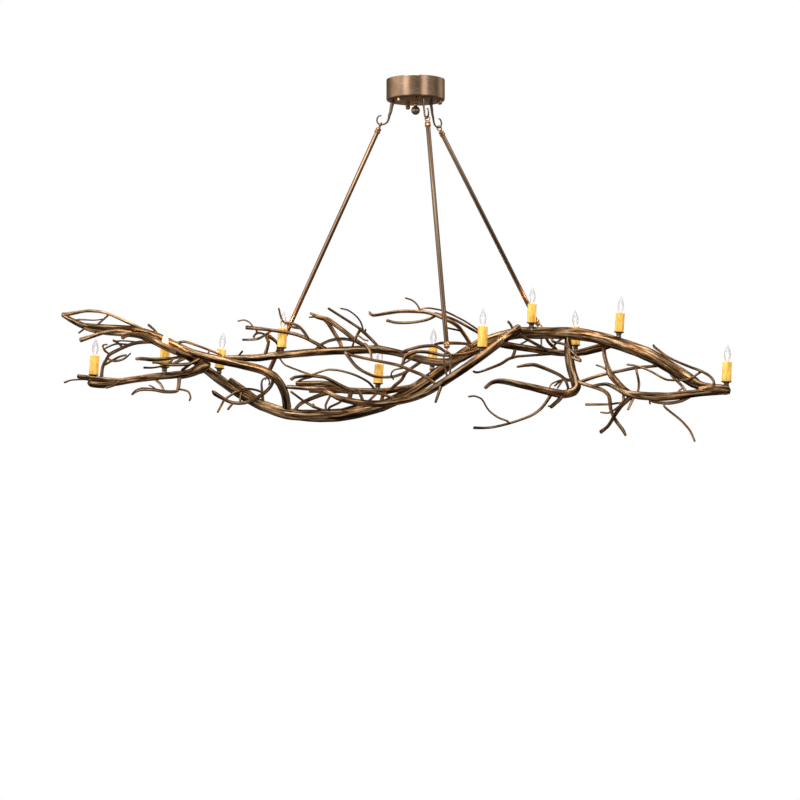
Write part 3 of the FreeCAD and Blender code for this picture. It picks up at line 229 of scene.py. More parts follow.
bark_bronze = bark_finish("bark_bronze", (0.024, 0.010, 0.003), (0.140, 0.077, 0.032), (0.54, 0.360, 0.205),
                          90)
twig_bronze = bark_finish("twig_bronze", (0.028, 0.012, 0.003), (0.150, 0.081, 0.034), (0.48, 0.305, 0.170),
                          170)
rod_bronze = bark_finish("rod_bronze", (0.070, 0.038, 0.019), (0.180, 0.110, 0.064), (0.40, 0.275, 0.175),
                         110, 0.00001, 0.1)
print("bark finishes:", bark_bronze.name, twig_bronze.name, rod_bronze.name)

# %% [markdown]
# The metalwork is smoother. Fine noise drawn out along one direction gives the brushed look of
# satin bronze and copper, and soft clouds keep a large face from looking printed.

# %% Brushed metals
def brushed_finish(name, dark, light, stretch, metallic=0.85, rough=(0.30, 0.46)):
    """Brushed metal between a dark and a light tone, with a scale for each axis."""
    finish, tree, shader = new_finish(name, light, metallic, 0.38)
    place = add(tree, "ShaderNodeTexCoord").outputs["Object"]
    lines = streaks(tree, place, stretch, 3, 0.6)
    clouds = add(tree, "ShaderNodeTexNoise", Vector=place, Scale=16, Detail=3, Roughness=0.5).outputs["Fac"]
    share = maths(tree, "MULTIPLY", maths(tree, "ADD", lines, clouds), 0.5)
    tree.links.new(ramp(tree, share, (0.36, dark), (0.64, light)), shader.inputs["Base Color"])
    tree.links.new(remap(tree, lines, 0.3, 0.7, *rough), shader.inputs["Roughness"])
    emboss(tree, shader, lines, 0.15, 0.0006)
    return finish


satin_bronze = brushed_finish("satin_bronze", (0.30, 0.18, 0.11), (0.56, 0.37, 0.245), (60, 60, 700), 0.92,
                              (0.14, 0.22))
copper_loop = brushed_finish("copper_loop", (0.36, 0.17, 0.065), (0.80, 0.46, 0.21), (420, 420, 160), 0.92,
                             (0.18, 0.3))
hook_bronze = brushed_finish("hook_bronze", (0.085, 0.052, 0.030), (0.27, 0.18, 0.115), (300, 300, 90), 0.8,
                             (0.22, 0.36))
dark_bronze = brushed_finish("dark_bronze", (0.030, 0.019, 0.012), (0.10, 0.064, 0.040), (200, 200, 200), 0.6)
finial_bronze = brushed_finish("finial_bronze", (0.24, 0.15, 0.09), (0.58, 0.39, 0.25), (80, 80, 80), 0.9,
                               (0.18, 0.26))
stem_bronze = brushed_finish("stem_bronze", (0.14, 0.090, 0.058), (0.46, 0.34, 0.25), (160, 160, 60), 0.9,
                             (0.16, 0.3))
brass_nut = brushed_finish("brass_nut", (0.30, 0.165, 0.075), (0.66, 0.42, 0.22), (300, 300, 300), 0.92,
                           (0.16, 0.28))
zinc_strap = brushed_finish("zinc_strap", (0.42, 0.42, 0.40), (0.62, 0.62, 0.60), (60, 900, 60), 0.9)
bulb_brass = brushed_finish("bulb_brass", (0.60, 0.42, 0.18), (0.80, 0.62, 0.32), (400, 400, 60), 0.9,
                            (0.2, 0.3))
print("finishes so far:", len(bpy.data.materials))

# %% [markdown]
# The candle covers are amber resin, cast to look like beeswax: milky, a little mottled, paler
# where wax would have run. Light scatters inside such resin, so the shader has a share of
# subsurface light. A faint glow on top of it is painted light from the lit bulbs. The sockets
# inside are the same without the glow.

# %% Wax
def wax_finish(name, deep, pale, glow=0):
    """Milky resin between a deep and a pale tone."""
    finish, tree, shader = new_finish(name, pale, 0, 0.42)
    place = add(tree, "ShaderNodeTexCoord").outputs["Object"]
    runs = streaks(tree, place, (95, 95, 22), 3, 0.55)
    flecks = add(tree, "ShaderNodeTexNoise", Vector=place, Scale=420, Detail=2, Roughness=0.5).outputs["Fac"]
    color = ramp(tree, maths(tree, "MULTIPLY_ADD", flecks, 0.35, runs), (0.5, deep), (0.78, pale))
    tree.links.new(color, shader.inputs["Base Color"])
    shader.inputs["Subsurface Weight"].default_value = 0.25
    shader.inputs["Subsurface Radius"].default_value = (0.010, 0.005, 0.002)
    # A glow above zero is painted light that stands in for the lit bulbs.
    shader.inputs["Emission Strength"].default_value = glow
    tree.links.new(color, shader.inputs["Emission Color"])
    emboss(tree, shader, runs, 0.25, 0.0012)
    return finish


# The covers get a faint glow of painted light from the bulbs.
amber_cover = wax_finish("amber_cover", (0.66, 0.31, 0.035), (0.98, 0.64, 0.15), 0.38)
socket_resin = wax_finish("socket_resin", (0.74, 0.70, 0.60), (0.88, 0.86, 0.80))
print("wax finishes:", amber_cover.name, socket_resin.name)

# %% [markdown]
# The bulbs are clear glass. A thin skin of glass is hard to see from the front and turns grey at
# its edge, so its see-through share follows the facing angle. The wires inside and the flame of
# the lit bulb give light of their own.

# %% Glass, wires and flame
clear_glass, glass_tree, glass_shader = new_finish("clear_glass", (0.72, 0.70, 0.70), 0, 0.04)
edge = add(glass_tree, "ShaderNodeLayerWeight", Blend=0.5).outputs["Facing"]
glass_tree.links.new(remap(glass_tree, edge, 0.1, 0.9, 0.14, 0.60), glass_shader.inputs["Alpha"])
filament_wire, _, wire_shader = new_finish("filament_wire", (0.80, 0.70, 0.60), 0.3, 0.35)
wire_shader.inputs["Emission Color"].default_value = (1, 0.72, 0.48, 1)
wire_shader.inputs["Emission Strength"].default_value = 1.2
flame_glow, _, flame_shader = new_finish("flame_glow", (1, 0.86, 0.62), 0, 0.5)
flame_shader.inputs["Emission Color"].default_value = (1, 0.72, 0.38, 1)
flame_shader.inputs["Emission Strength"].default_value = 9
print("finishes:", len(bpy.data.materials))

# %% [markdown]
# ## Branches
# Each branch of the CAD model is a chain of many-sided rings. To make it round again, the rings
# are read back from the solid. First the faces of a CAD node are merged in a copy, and the copy
# is parted into its loose solids. A corner that only one CAD face holds was added when that face
# was cut into triangles, so it is taken out.

# %% Part a CAD node into its solids
MERGE = 2e-5


def place_key(vert):
    """A vertex's place to a hundredth of a millimetre, to tell which ones meet."""
    return tuple(round(value * 1e5) for value in vert.co)


def solids_of(node):
    """The loose solids of a CAD node, as a merged bmesh and one set of corners for each."""
    shell = bmesh.new()
    shell.from_mesh(frame["nodes"][node].data)
    met = Counter(place_key(vert) for vert in shell.verts)
    bmesh.ops.remove_doubles(shell, verts=shell.verts, dist=MERGE)
    inner = [vert for vert in shell.verts if met[place_key(vert)] == 1]
    bmesh.ops.dissolve_verts(shell, verts=inner)
    shell.normal_update()
    left, solids = set(shell.verts), []
    while left:
        found, work = set(), [left.pop()]
        while work:
            vert = work.pop()
            found.add(vert)
            near = {e.other_vert(vert) for e in vert.link_edges} & left
            left -= near
            work += near
        solids.append(found)
    return shell, solids


print("corners closer than", MERGE * 1e6, "micrometres are merged")

# %% [markdown]
# The flat end of a branch is one ring, and walking out along the edges from there meets the
# others in order. Other flat sides can look like an end, so the walk that reaches furthest wins.
# It can be found from both ends, so the rings are put in order from the left end. That keeps the
# bark the same in every run.

# %% Read the rings of a solid
RING_SIDES = (4, 5, 7)
FLAT_ANGLE = 0.01


def flat_sides(solid):
    """The corners of each group of faces that lie in one plane and could be an end."""
    faces, sides = {f for v in solid for f in v.link_faces}, []
    while faces:
        group, work = set(), [faces.pop()]
        while work:
            face = work.pop()
            group.add(face)
            for near in {f for e in face.edges for f in e.link_faces} & faces:
                if near.normal.angle(face.normal, 0) < FLAT_ANGLE:
                    faces.discard(near)
                    work.append(near)
        sides.append({v for f in group for v in f.verts})
    return [s for s in sides if len(s) in RING_SIDES]


def rings_of(solid):
    """A branch's rings in order along the longest way through it, from its left end in X."""
    best, reach = None, 0
    for ring in flat_sides(solid):
        rings, seen = [ring], set(ring)
        while True:
            onward = {e.other_vert(v) for v in rings[-1] for e in v.link_edges} - seen
            if not onward:
                break
            seen |= onward
            rings.append(onward)
        if len(rings) > 1 and {len(r) for r in rings} == {len(ring)}:
            spots = [np.array([v.co[:] for v in r]) for r in rings]
            far = np.linalg.norm(spots[0].mean(axis=0) - spots[-1].mean(axis=0))
            if far > reach:
                best, reach = spots, far
    if best and tuple(best[0].mean(axis=0)) > tuple(best[-1].mean(axis=0)):
        best = best[::-1]
    return best


print("rings of", *RING_SIDES, "corners are read")

# %% [markdown]
# Between the rings the branch follows a smooth curve. The curve is cut into short steps, each of
# which knows the rings before and after it. A ring gives its centre and its half widths, as a
# matrix that turns a unit circle into its outline.

# %% A smooth path through rings
def smooth_path(points, step):
    """Places on a curve through the points, a step apart, with the share of each interval."""
    slopes = np.gradient(points, axis=0)
    spots = []
    for i in range(len(points) - 1):
        count = max(1, int(np.linalg.norm(points[i + 1] - points[i]) / step))
        for k in range(count):
            t = k / count
            value = ((2 * t ** 3 - 3 * t ** 2 + 1) * points[i] + (t ** 3 - 2 * t ** 2 + t) * slopes[i]
                     + (3 * t ** 2 - 2 * t ** 3) * points[i + 1] + (t ** 3 - t ** 2) * slopes[i + 1])
            spots.append((value, i, t))
    spots.append((points[-1], len(points) - 2, 1.0))
    return spots


def spread_of(ring):
    """A matrix that turns a unit circle into the ring's outline."""
    offsets = ring - ring.mean(axis=0)
    values, axes = np.linalg.eigh(2 * offsets.T @ offsets / len(ring))
    return axes @ np.diag(np.sqrt(np.maximum(values, 0))) @ axes.T


trial = smooth_path(np.array([(0, 0, 0), (0.05, 0.01, 0), (0.1, 0, 0)]), 0.01)
print("a trial path of 0.1 m has", len(trial), "places")

# %% [markdown]
# A frame is carried along the curve without twist, and each step gets a round ring. Slow noise
# swells and bends the surface, a knot thickens the branch round its place, and the last rings
# close to a rounded, slightly broken tip. The grain is written down for every corner.

# %% Grow a round branch
TIP_REACH = 0.4
TIP_WIDTH = 0.55
SWELLS = 16
SWELL_SPREAD = 0.9
RIDGES = 9
RIDGE_FINE = 150
RIDGE_SHARE = 0.6
LEAN = (0.0, 1.0, 0.3)


def grow(rings, sides, step, seed, lumps, girth=1.0, knots=()):
    """Vertices, faces and grain of one smooth branch, swollen at its knots."""
    centres = np.array([r.mean(axis=0) for r in rings])
    spreads = [spread_of(r) for r in rings]
    path = smooth_path(centres, step)
    line = np.array([p[0] for p in path])
    ways = np.gradient(line, axis=0)
    ways /= np.maximum(np.linalg.norm(ways, axis=1, keepdims=True), 1e-9)
    lengths = np.concatenate([[0], np.cumsum(np.linalg.norm(np.diff(line, axis=0), axis=1))])
    side = np.cross(ways[0], LEAN)
    verts, grain = [], []
    for (centre, i, t), way, far in zip(path, ways, lengths):
        side = side - way * (side @ way)
        side /= np.linalg.norm(side)
        up = np.cross(way, side)
        spread = spreads[i] * (1 - t) + spreads[i + 1] * t
        size = np.linalg.norm(spread @ side)
        end = min(far, lengths[-1] - far)
        close = math.sqrt(max(0.0, 1 - max(0.0, 1 - end / (TIP_REACH * size)) ** 2))
        width = girth
        for place, amount, span in knots:
            width += amount * math.exp(-float(((centre - place) ** 2).sum()) / span ** 2)
        for k in range(sides):
            turn = 2 * math.pi * k / sides
            across, over = math.cos(turn), math.sin(turn)
            out = side * across + up * over
            swell = noise.noise(Vector((far * SWELLS + seed, *(out[:2] * SWELL_SPREAD + seed))))
            spot = (across * size * RIDGE_FINE, over * size * RIDGE_FINE)
            ridge = noise.noise(Vector((far * RIDGES + seed, *spot)))
            bumps = 1 + lumps * swell + RIDGE_SHARE * lumps * ridge
            reach = bumps * (TIP_WIDTH + (1 - TIP_WIDTH) * close) * width
            verts.append(centre + spread @ out * reach)
            grain.append((far + seed, across * size, over * size))
    faces = []
    for i in range(len(path) - 1):
        for k in range(sides):
            a, b = i * sides + k, i * sides + (k + 1) % sides
            faces.append((a, b, b + sides, a + sides))
    faces.append(tuple(range(sides))[::-1])
    faces.append(tuple(range(len(verts) - sides, len(verts))))
    return verts, faces, grain


print("a tip closes over", TIP_REACH, "of the half width, to", TIP_WIDTH, "of it")

# %% [markdown]
# A limb or a group of twigs is one object, so its branches are put into one mesh. The grain is
# kept as an attribute of the mesh, where the bark finish finds it. The normals are worked out
# again, so that they all point outwards.

# %% One object from grown branches
def piece_from(name, parts):
    """One object from several grown branches, with their grain as an attribute."""
    verts, faces, grain = [], [], []
    for more_verts, more_faces, more_grain in parts:
        base = len(verts)
        verts += [tuple(v) for v in more_verts]
        faces += [tuple(base + i for i in f) for f in more_faces]
        grain += more_grain
    mesh = bpy.data.meshes.new(name)
    mesh.from_pydata(verts, [], faces)
    layer = mesh.attributes.new("grain", "FLOAT_VECTOR", "POINT")
    layer.data.foreach_set("vector", np.array(grain, dtype=np.float32).ravel())
    obj = bpy.data.objects.new(name, mesh)
    scene.collection.objects.link(obj)
    pick(obj)
    bpy.ops.object.mode_set(mode="EDIT")
    bpy.ops.mesh.select_all(action="SELECT")
    bpy.ops.mesh.normals_make_consistent(inside=False)
    bpy.ops.object.mode_set(mode="OBJECT")
    bpy.ops.object.shade_smooth()
    return obj


print("helper ready:", piece_from.__name__)

# %% [markdown]
# A few limbs swell where they were forged thicker. A knot has a place, the share by which the
# limb swells there and how far that reaches. Three limbs end in a knuckle, which is a short
# thick branch of its own through places with a half width each.

# %% Knots and knuckles
KNOTS = {
    "left_arm": [((-1.298, 0.06, -1.241), 0.16, 0.04)],
    "front_limb": [((0.270, -0.45, -1.12), 0.28, 0.20)],
    "drop_limb": [((0.650, 0.10, -1.19), 0.15, 0.30)],
    "wave_limb": [((0.920, 0.05, -1.10), 0.09, 0.35)],
}
KNUCKLES = {
    "front_limb": [(0.330, -0.470, -1.084, 0.0145), (0.357, -0.472, -1.063, 0.0157),
                   (0.376, -0.474, -1.048, 0.0168), (0.391, -0.475, -1.037, 0.0165),
                   (0.399, -0.475, -1.033, 0.0138)],
    "left_arm": [(-0.980, 0.040, -1.213, 0.0148), (-0.946, 0.036, -1.207, 0.0161),
                 (-0.916, 0.028, -1.196, 0.0189), (-0.891, 0.022, -1.182, 0.0230),
                 (-0.870, 0.020, -1.171, 0.0247), (-0.856, 0.022, -1.168, 0.0214),
                 (-0.846, 0.026, -1.172, 0.0156)],
    "right_arm": [(1.137, -0.121, -1.273, 0.0160), (1.169, -0.122, -1.271, 0.0200),
                  (1.201, -0.122, -1.270, 0.0220), (1.227, -0.122, -1.270, 0.0215),
                  (1.248, -0.122, -1.271, 0.0205), (1.262, -0.122, -1.272, 0.0180)],
}


def round_rings(path):
    """Round rings about the points of a path of (x, y, z, half width)."""
    spots, rings = np.array(path)[:, :3], []
    for spot, way, half in zip(spots, np.gradient(spots, axis=0), np.array(path)[:, 3]):
        side = np.cross(way, LEAN)
        side /= np.linalg.norm(side)
        up = np.cross(way / np.linalg.norm(way), side)
        turns = [math.pi * k / 4 for k in range(8)]
        rings.append(np.array([spot + half * (side * math.cos(a) + up * math.sin(a)) for a in turns]))
    return rings


print("knots on", *KNOTS, "and knuckles on", *KNUCKLES)

# %% [markdown]
# Now every limb, every group of twigs and the three hangers are grown. Forging and the bronze
# coat leave a branch thicker than the line it follows, so limbs and twigs get some girth. Thick
# branches need more sides than thin ones to look round. The seed differs from branch to branch,
# and so no two have the same bark.

# %% Dress the limbs, twigs and hangers
LIMBS = ("wave_limb", "back_limb", "crown_limb", "crown_loop", "left_arm", "left_prong", "left_rail",
         "front_limb", "middle_limb", "drop_limb", "right_arm")
LIMB_GIRTH = 1.08
TWIG_GIRTH = 1.2
THICK = 0.0095
twig_nodes = [n for n in frame["nodes"] if n.endswith("_twigs") or n == "middle_strands"]
hanger_nodes = [n for n in frame["nodes"] if n.startswith("hanger_")]
for node in [*LIMBS, *twig_nodes, *hanger_nodes]:
    shell, solids = solids_of(node)
    parts = []
    lumps = 0.03 if node in hanger_nodes else 0.07
    girth = LIMB_GIRTH if node in LIMBS else TWIG_GIRTH if node in twig_nodes else 1.0
    for number, solid in enumerate(sorted(solids, key=lambda s: min(v.co.x for v in s))):
        rings = rings_of(solid)
        if rings is None:
            print("no rings in", node, number, len(solid))
            continue
        half = max(np.linalg.norm(r - r.mean(axis=0), axis=1).max() for r in rings)
        sides, step = (22, 0.004) if half > THICK else (14, 0.003)
        parts.append(grow(rings, sides, step, 3.7 * number + len(node), lumps, girth, KNOTS.get(node, ())))
    if node in KNUCKLES:
        parts.append(grow(round_rings(KNUCKLES[node]), 22, 0.003, 5.1, 0.08))
    shell.free()
    finish = bark_bronze if node in LIMBS else hook_bronze if node in hanger_nodes else twig_bronze
    dressed = piece_from(node + "_bark", parts)
    settle(dressed, node + "_bark", body_of(node), "bark_bronze", finish, node)
    print(node, len(parts), "branches,", len(dressed.data.polygons), "faces")

# %% [markdown]
# ## Candle lights
# The CAD cover of each light gives its foot and its lean. One light is modelled upright at the
# origin and copied to the eleven places.

# %% Where the lights stand
LIGHT_COUNT = sum(node.startswith("candle_cover_") for node in frame["nodes"])


def light_places():
    """A matrix for each light, which carries an upright light at the origin to its place."""
    places = []
    for number in range(1, LIGHT_COUNT + 1):
        points = np.array([v.co[:] for v in frame["nodes"][f"candle_cover_{number}"].data.vertices])
        middle = points.mean(axis=0)
        foot = points[points[:, 2] < middle[2]].mean(axis=0)
        top = points[points[:, 2] >= middle[2]].mean(axis=0)
        up = Vector(top - foot).normalized()
        turn = up.to_track_quat("Z", "Y").to_matrix().to_4x4()
        places.append(Matrix.Translation(Vector(foot)) @ turn)
    return places


lights = light_places()
print("lights:", len(lights))

# %% [markdown]
# Most parts of a light, and of the canopy, are turned on a lathe. A lathe part is half an
# outline that spins about an axis, which is what the spin operator does. The seam where it meets
# itself is merged, and edges sharper than a limit stay crisp. The finished model is copied to
# all its places, each copy with its own mesh, and the copies are joined.

# %% Turn a part and copy it
AXIS = 0.0003


def spun(name, profile, sides=40, smooth=40):
    """A turned piece about +Z from (radius, height) points, smooth below an angle."""
    mesh = bpy.data.meshes.new(name)
    mesh.from_pydata([(r, 0, z) for r, z in profile], [(i, i + 1) for i in range(len(profile) - 1)], [])
    obj = bpy.data.objects.new(name, mesh)
    scene.collection.objects.link(obj)
    pick(obj)
    bpy.ops.object.mode_set(mode="EDIT")
    bpy.ops.mesh.select_all(action="SELECT")
    bpy.ops.mesh.spin(steps=sides, angle=2 * math.pi, center=(0, 0, 0), axis=(0, 0, 1))
    bpy.ops.mesh.select_all(action="SELECT")
    bpy.ops.mesh.remove_doubles(threshold=1e-5)
    bpy.ops.mesh.normals_make_consistent(inside=False)
    bpy.ops.object.mode_set(mode="OBJECT")
    bpy.ops.object.shade_smooth_by_angle(angle=math.radians(smooth))
    return obj


def copies(model, places):
    """The model copied to each place, joined into one object, and the model removed."""
    made = []
    for place in places:
        twin = model.copy()
        twin.data = model.data.copy()
        twin.data.transform(place)
        scene.collection.objects.link(twin)
        made.append(twin)
    bpy.data.objects.remove(model)
    pick(*made)
    if len(made) > 1:
        bpy.ops.object.join()
    return bpy.context.object


print("turned outlines start", AXIS * 1000, "mm from the axis")

# %% [markdown]
# A cover is a sleeve with a rounded rim. Cast resin is never quite round, so slow noise pushes
# its wall in and out by less than half a millimetre, in long runs like those of wax.

# %% Covers
WAX_RUN = 0.00045
WAX_ROUND = 90
WAX_ALONG = 18
cover_profile = [(0.0166, 0.001), (0.0172, 0.0002), (0.0186, 0.0002), (0.0190, 0.0012), (0.0190, 0.030),
                 (0.0189, 0.060), (0.0190, 0.0772), (0.0187, 0.0786), (0.0180, 0.0790), (0.0170, 0.0786),
                 (0.0166, 0.0775), (0.0166, 0.001)]
for number, place in enumerate(lights, 1):
    cover = copies(spun("cover", cover_profile, 48, 50), [place])
    upright = place.inverted()
    for vert in cover.data.vertices:
        local = upright @ vert.co
        spot = (local.x * WAX_ROUND + number, local.y * WAX_ROUND, local.z * WAX_ALONG)
        drip = noise.noise(Vector(spot))
        push = Vector((local.x, local.y, 0)).normalized() * WAX_RUN * drip
        vert.co = place @ (local + push)
    settle(cover, f"cover_{number}", "frame", "amber_cover", amber_cover, f"candle_cover_{number}")
print("covers placed:", len(lights))

# %% [markdown]
# A shallow drip cup holds each cover, and a turned stem carries the cup. The stems differ in
# length, because each reaches down to its limb. The CAD stem of a light is looked up by its
# place below the cup, and the outline of the turned stem is stretched to the same length.

# %% Cups and stems
CUP_FLOOR = -0.005
STEM_ASIDE = 0.03
STEM_BELOW = 0.09
STEM_SHARES = [(0.0005, 0), (0.0128, 0), (0.0129, 0.10), (0.0118, 0.2), (0.0098, 0.3), (0.0090, 0.42),
               (0.0092, 0.52), (0.0112, 0.58), (0.0120, 0.64), (0.0112, 0.7), (0.0094, 0.76),
               (0.0096, 0.84), (0.0120, 0.92), (0.0124, 1), (0.0005, 1)]
cup_profile = [(0.0005, CUP_FLOOR), (0.0118, CUP_FLOOR), (0.0150, -0.0042), (0.0192, -0.0026),
               (0.0212, -0.0010), (0.0218, 0.0006), (0.0214, 0.0010), (0.0200, -0.0004),
               (0.0180, -0.0008), (0.0005, -0.0008)]
cup = copies(spun("cup", cup_profile, 36), lights)
settle(cup, "cups", "frame", "dark_bronze", dark_bronze, "light_cups")
stem_points = [v.co.copy() for v in frame["nodes"]["light_stems"].data.vertices]
stems = []
for place in lights:
    local = np.array([place.inverted() @ point for point in stem_points])
    near = local[(np.hypot(local[:, 0], local[:, 1]) < STEM_ASIDE) & (abs(local[:, 2]) < STEM_BELOW)]
    low = near[:, 2].min()
    profile = [(radius, low + share * (CUP_FLOOR - low)) for radius, share in STEM_SHARES]
    stems.append(copies(spun("stem", profile, 24), [place]))
pick(*stems)
bpy.ops.object.join()
settle(bpy.context.object, "stems", "frame", "dark_bronze", stem_bronze, "light_stems")
print("stems:", len(stems))

# %% [markdown]
# Inside a cover stands a resin socket, and the brass cap of the bulb screws into its top. Both
# show at the cover's rim. The rings on the cap stand for its thread.

# %% Sockets and caps
socket_profile = [(0.0005, 0.0002), (0.0132, 0.0002), (0.0132, 0.069), (0.0126, 0.070), (0.0075, 0.070),
                  (0.0072, 0.066), (0.0005, 0.066)]
socket = copies(spun("socket", socket_profile, 32), lights)
settle(socket, "sockets", "frame", "socket_resin", socket_resin, "light_sockets")
cap_profile = [(0.0005, 0.0662), (0.0058, 0.0662), (0.0060, 0.0690), (0.0056, 0.0705), (0.0060, 0.0720),
               (0.0056, 0.0735), (0.0060, 0.0750), (0.0058, 0.0775), (0.0048, 0.0780), (0.0005, 0.0780)]
cap = copies(spun("cap", cap_profile, 28), lights)
settle(cap, "caps", "frame", "bulb_brass", bulb_brass, "bulb_caps")
print("socket faces", len(socket.data.polygons), "and cap faces", len(cap.data.polygons))

# %% [markdown]
# A flame bulb is a thin glass skin that swells low down and draws out to a point at the tip. The
# outline runs up the outside and back down the inside, so that the skin has a real thickness.

# %% Bulb glass
GLASS_FOOT = 0.0779
GLASS_TALL = 0.073
GLASS_RADIUS = 0.0132
GLASS_WALL = 0.0006
LAST_UPRIGHT = 9
bulb_shares = [(0.40, 0.0), (0.43, 0.03), (0.56, 0.09), (0.76, 0.17), (0.92, 0.26), (0.995, 0.36),
               (1.0, 0.42), (0.95, 0.52), (0.82, 0.62), (0.62, 0.73), (0.42, 0.82), (0.25, 0.90),
               (0.12, 0.96), (0.03, 1.0)]
outer = [(GLASS_RADIUS * r, GLASS_FOOT + GLASS_TALL * z) for r, z in bulb_shares]
inner = [(max(AXIS, r - GLASS_WALL), z - (GLASS_WALL if i > LAST_UPRIGHT else 0))
         for i, (r, z) in enumerate(outer)]
glass = copies(spun("glass", outer + inner[::-1] + outer[:1], 36, 80), lights)
settle(glass, "bulbs", "frame", "clear_glass", clear_glass, "bulb_glasses")
print("glass faces", len(glass.data.polygons))

# %% [markdown]
# Inside the glass stand a glass foot, two support wires and the looped filament. A wire is a
# curve with a round bevel, which is then made a mesh.

# %% Filaments and glass feet
def wire(name, points, radius):
    """A bent wire through points, from a curve with a round bevel."""
    curve = bpy.data.curves.new(name, "CURVE")
    curve.dimensions = "3D"
    curve.bevel_depth = radius
    curve.bevel_resolution = 2
    curve.use_fill_caps = True
    spline = curve.splines.new("POLY")
    spline.points.add(len(points) - 1)
    for point, place in zip(spline.points, points):
        point.co = (*place, 1)
    obj = bpy.data.objects.new(name, curve)
    scene.collection.objects.link(obj)
    pick(obj)
    bpy.ops.object.convert(target="MESH")
    return bpy.context.object


WIRE_TOP = 0.106
WIRE_APART = 0.0032
coil = [(0.0052 * math.cos(a), 0.0008 * math.sin(9 * a), WIRE_TOP + 0.010 * math.sin(a))
        for a in [math.pi * k / 60 for k in range(61)]]
supports = []
for x in (-WIRE_APART, WIRE_APART):
    supports.append(wire("lead", [(x, 0, GLASS_FOOT), (0.6 * x, 0, 0.088), (1.6 * x, 0, WIRE_TOP)], 0.00035))
foot_profile = [(AXIS, 0.078), (0.0042, 0.078), (0.0026, 0.084), (0.0018, 0.090), (AXIS, 0.0915)]
foot = spun("glass_foot", foot_profile, 16, 80)
filament = wire("filament", coil, 0.00028)
pick(filament, *supports)
bpy.ops.object.join()
inside = copies(bpy.context.object, lights)
settle(inside, "filaments", "frame", "bulb_brass", filament_wire)
settle(copies(foot, lights), "glass_feet", "frame", "clear_glass", clear_glass)
print("wires in", len(lights), "bulbs")

# %% [markdown]
# The second light from the left is lit. Its filament is too bright to see as a wire, so a small
# drop of light stands in its glass.

# %% The lit flame
flame_profile = [(AXIS, 0.0835), (0.0060, 0.0860), (0.0096, 0.0905), (0.0112, 0.0965), (0.0118, 0.1020),
                 (0.0110, 0.1080), (0.0080, 0.1145), (0.0040, 0.1200), (AXIS, 0.1230)]
flame = copies(spun("flame", flame_profile, 24, 80), [lights[1]])
settle(flame, "lit_flame", "frame", "clear_glass", flame_glow)
print("flame faces", len(flame.data.polygons))

# %% [markdown]
# ## Canopy and fasteners
# The canopy hides the ceiling box. It is a spun cup with a crisp rim, a rounded lower edge and a
# flat floor. It has many sides, since its smooth wall shows every corner. The strap and the stud
# inside it are plain bought parts, so their CAD meshes stay and only get a zinc finish.

# %% Canopy
canopy_profile = [(0.0002, -0.0860), (0.1100, -0.0860), (0.1148, -0.0855), (0.1180, -0.0838),
                  (0.1196, -0.0806), (0.1200, -0.0770), (0.1200, -0.0030), (0.1200, -0.0008), (0.1196, 0.0),
                  (0.1188, 0.0), (0.1185, -0.0008), (0.1185, -0.0780), (0.1165, -0.0828),
                  (0.1130, -0.0845), (0.0002, -0.0845)]
canopy = spun("canopy", canopy_profile, 128, 30)
settle(canopy, "canopy", "canopy", "satin_bronze", satin_bronze, "canopy_pan")
for node in ("mounting_strap", "centre_stud"):
    frame["nodes"][node].data.materials.clear()
    frame["nodes"][node].data.materials.append(zinc_strap)
print("canopy faces", len(canopy.data.polygons))

# %% [markdown]
# A ball finial with a turned neck closes the middle of the floor, and three domed cap nuts hold
# the canopy to its strap. The ball is an arc at the end of the neck's outline, so both are one
# turned piece.

# %% Finial and cap nuts
BALL_CENTRE = -0.1245
BALL_RADIUS = 0.0181
finial_profile = [(0.0004, -0.0858), (0.0092, -0.0858), (0.0092, -0.0884), (0.0078, -0.0896),
                  (0.0074, -0.0980), (0.0080, -0.1000), (0.0080, -0.1030), (0.0070, -0.1045),
                  (0.0066, -0.1065)]
for k in range(19):
    turn = math.radians(24 + k * 156 / 18)
    radius = max(AXIS, BALL_RADIUS * math.sin(turn))
    finial_profile.append((radius, BALL_CENTRE + BALL_RADIUS * math.cos(turn)))
finial = spun("finial", finial_profile, 48, 40)
settle(finial, "finial", "canopy", "satin_bronze", finial_bronze, "ball_finial")

NUT_TOP = -0.0862
NUT_WIDER = 1.22
NUT_TALLER = 1.18
NUT_CIRCLE = 0.101
nut_profile = [(AXIS, NUT_TOP), (0.0086, NUT_TOP), (0.0086, -0.0878), (0.0072, -0.0885), (0.0070, -0.0902),
               (0.0079, -0.0925), (0.0082, -0.0952), (0.0076, -0.0981), (0.0060, -0.1004),
               (0.0035, -0.1017), (AXIS, -0.1021)]
nut_profile = [(NUT_WIDER * r, NUT_TOP + NUT_TALLER * (z - NUT_TOP)) for r, z in nut_profile]
nut_turns = [math.radians(bearing) for bearing in (108, 228, 348)]
nut_places = [Matrix.Translation((NUT_CIRCLE * math.cos(a), NUT_CIRCLE * math.sin(a), 0)) for a in nut_turns]
nuts = copies(spun("nut", nut_profile, 32), nut_places)
settle(nuts, "nuts", "canopy", "brass_nut", brass_nut, "cap_nuts")
print("finial faces", len(finial.data.polygons), "and nuts", len(nut_places))

# %% [markdown]
# Each hook is a strap that narrows into a round J. It is grown along its side outline with the
# same tool as the branches, from flat rings that turn round. Each place on the outline is a
# share of the hook's reach and of its drop, followed by its width and its thickness. A round
# plate and a nut hold the strap to the canopy's floor.

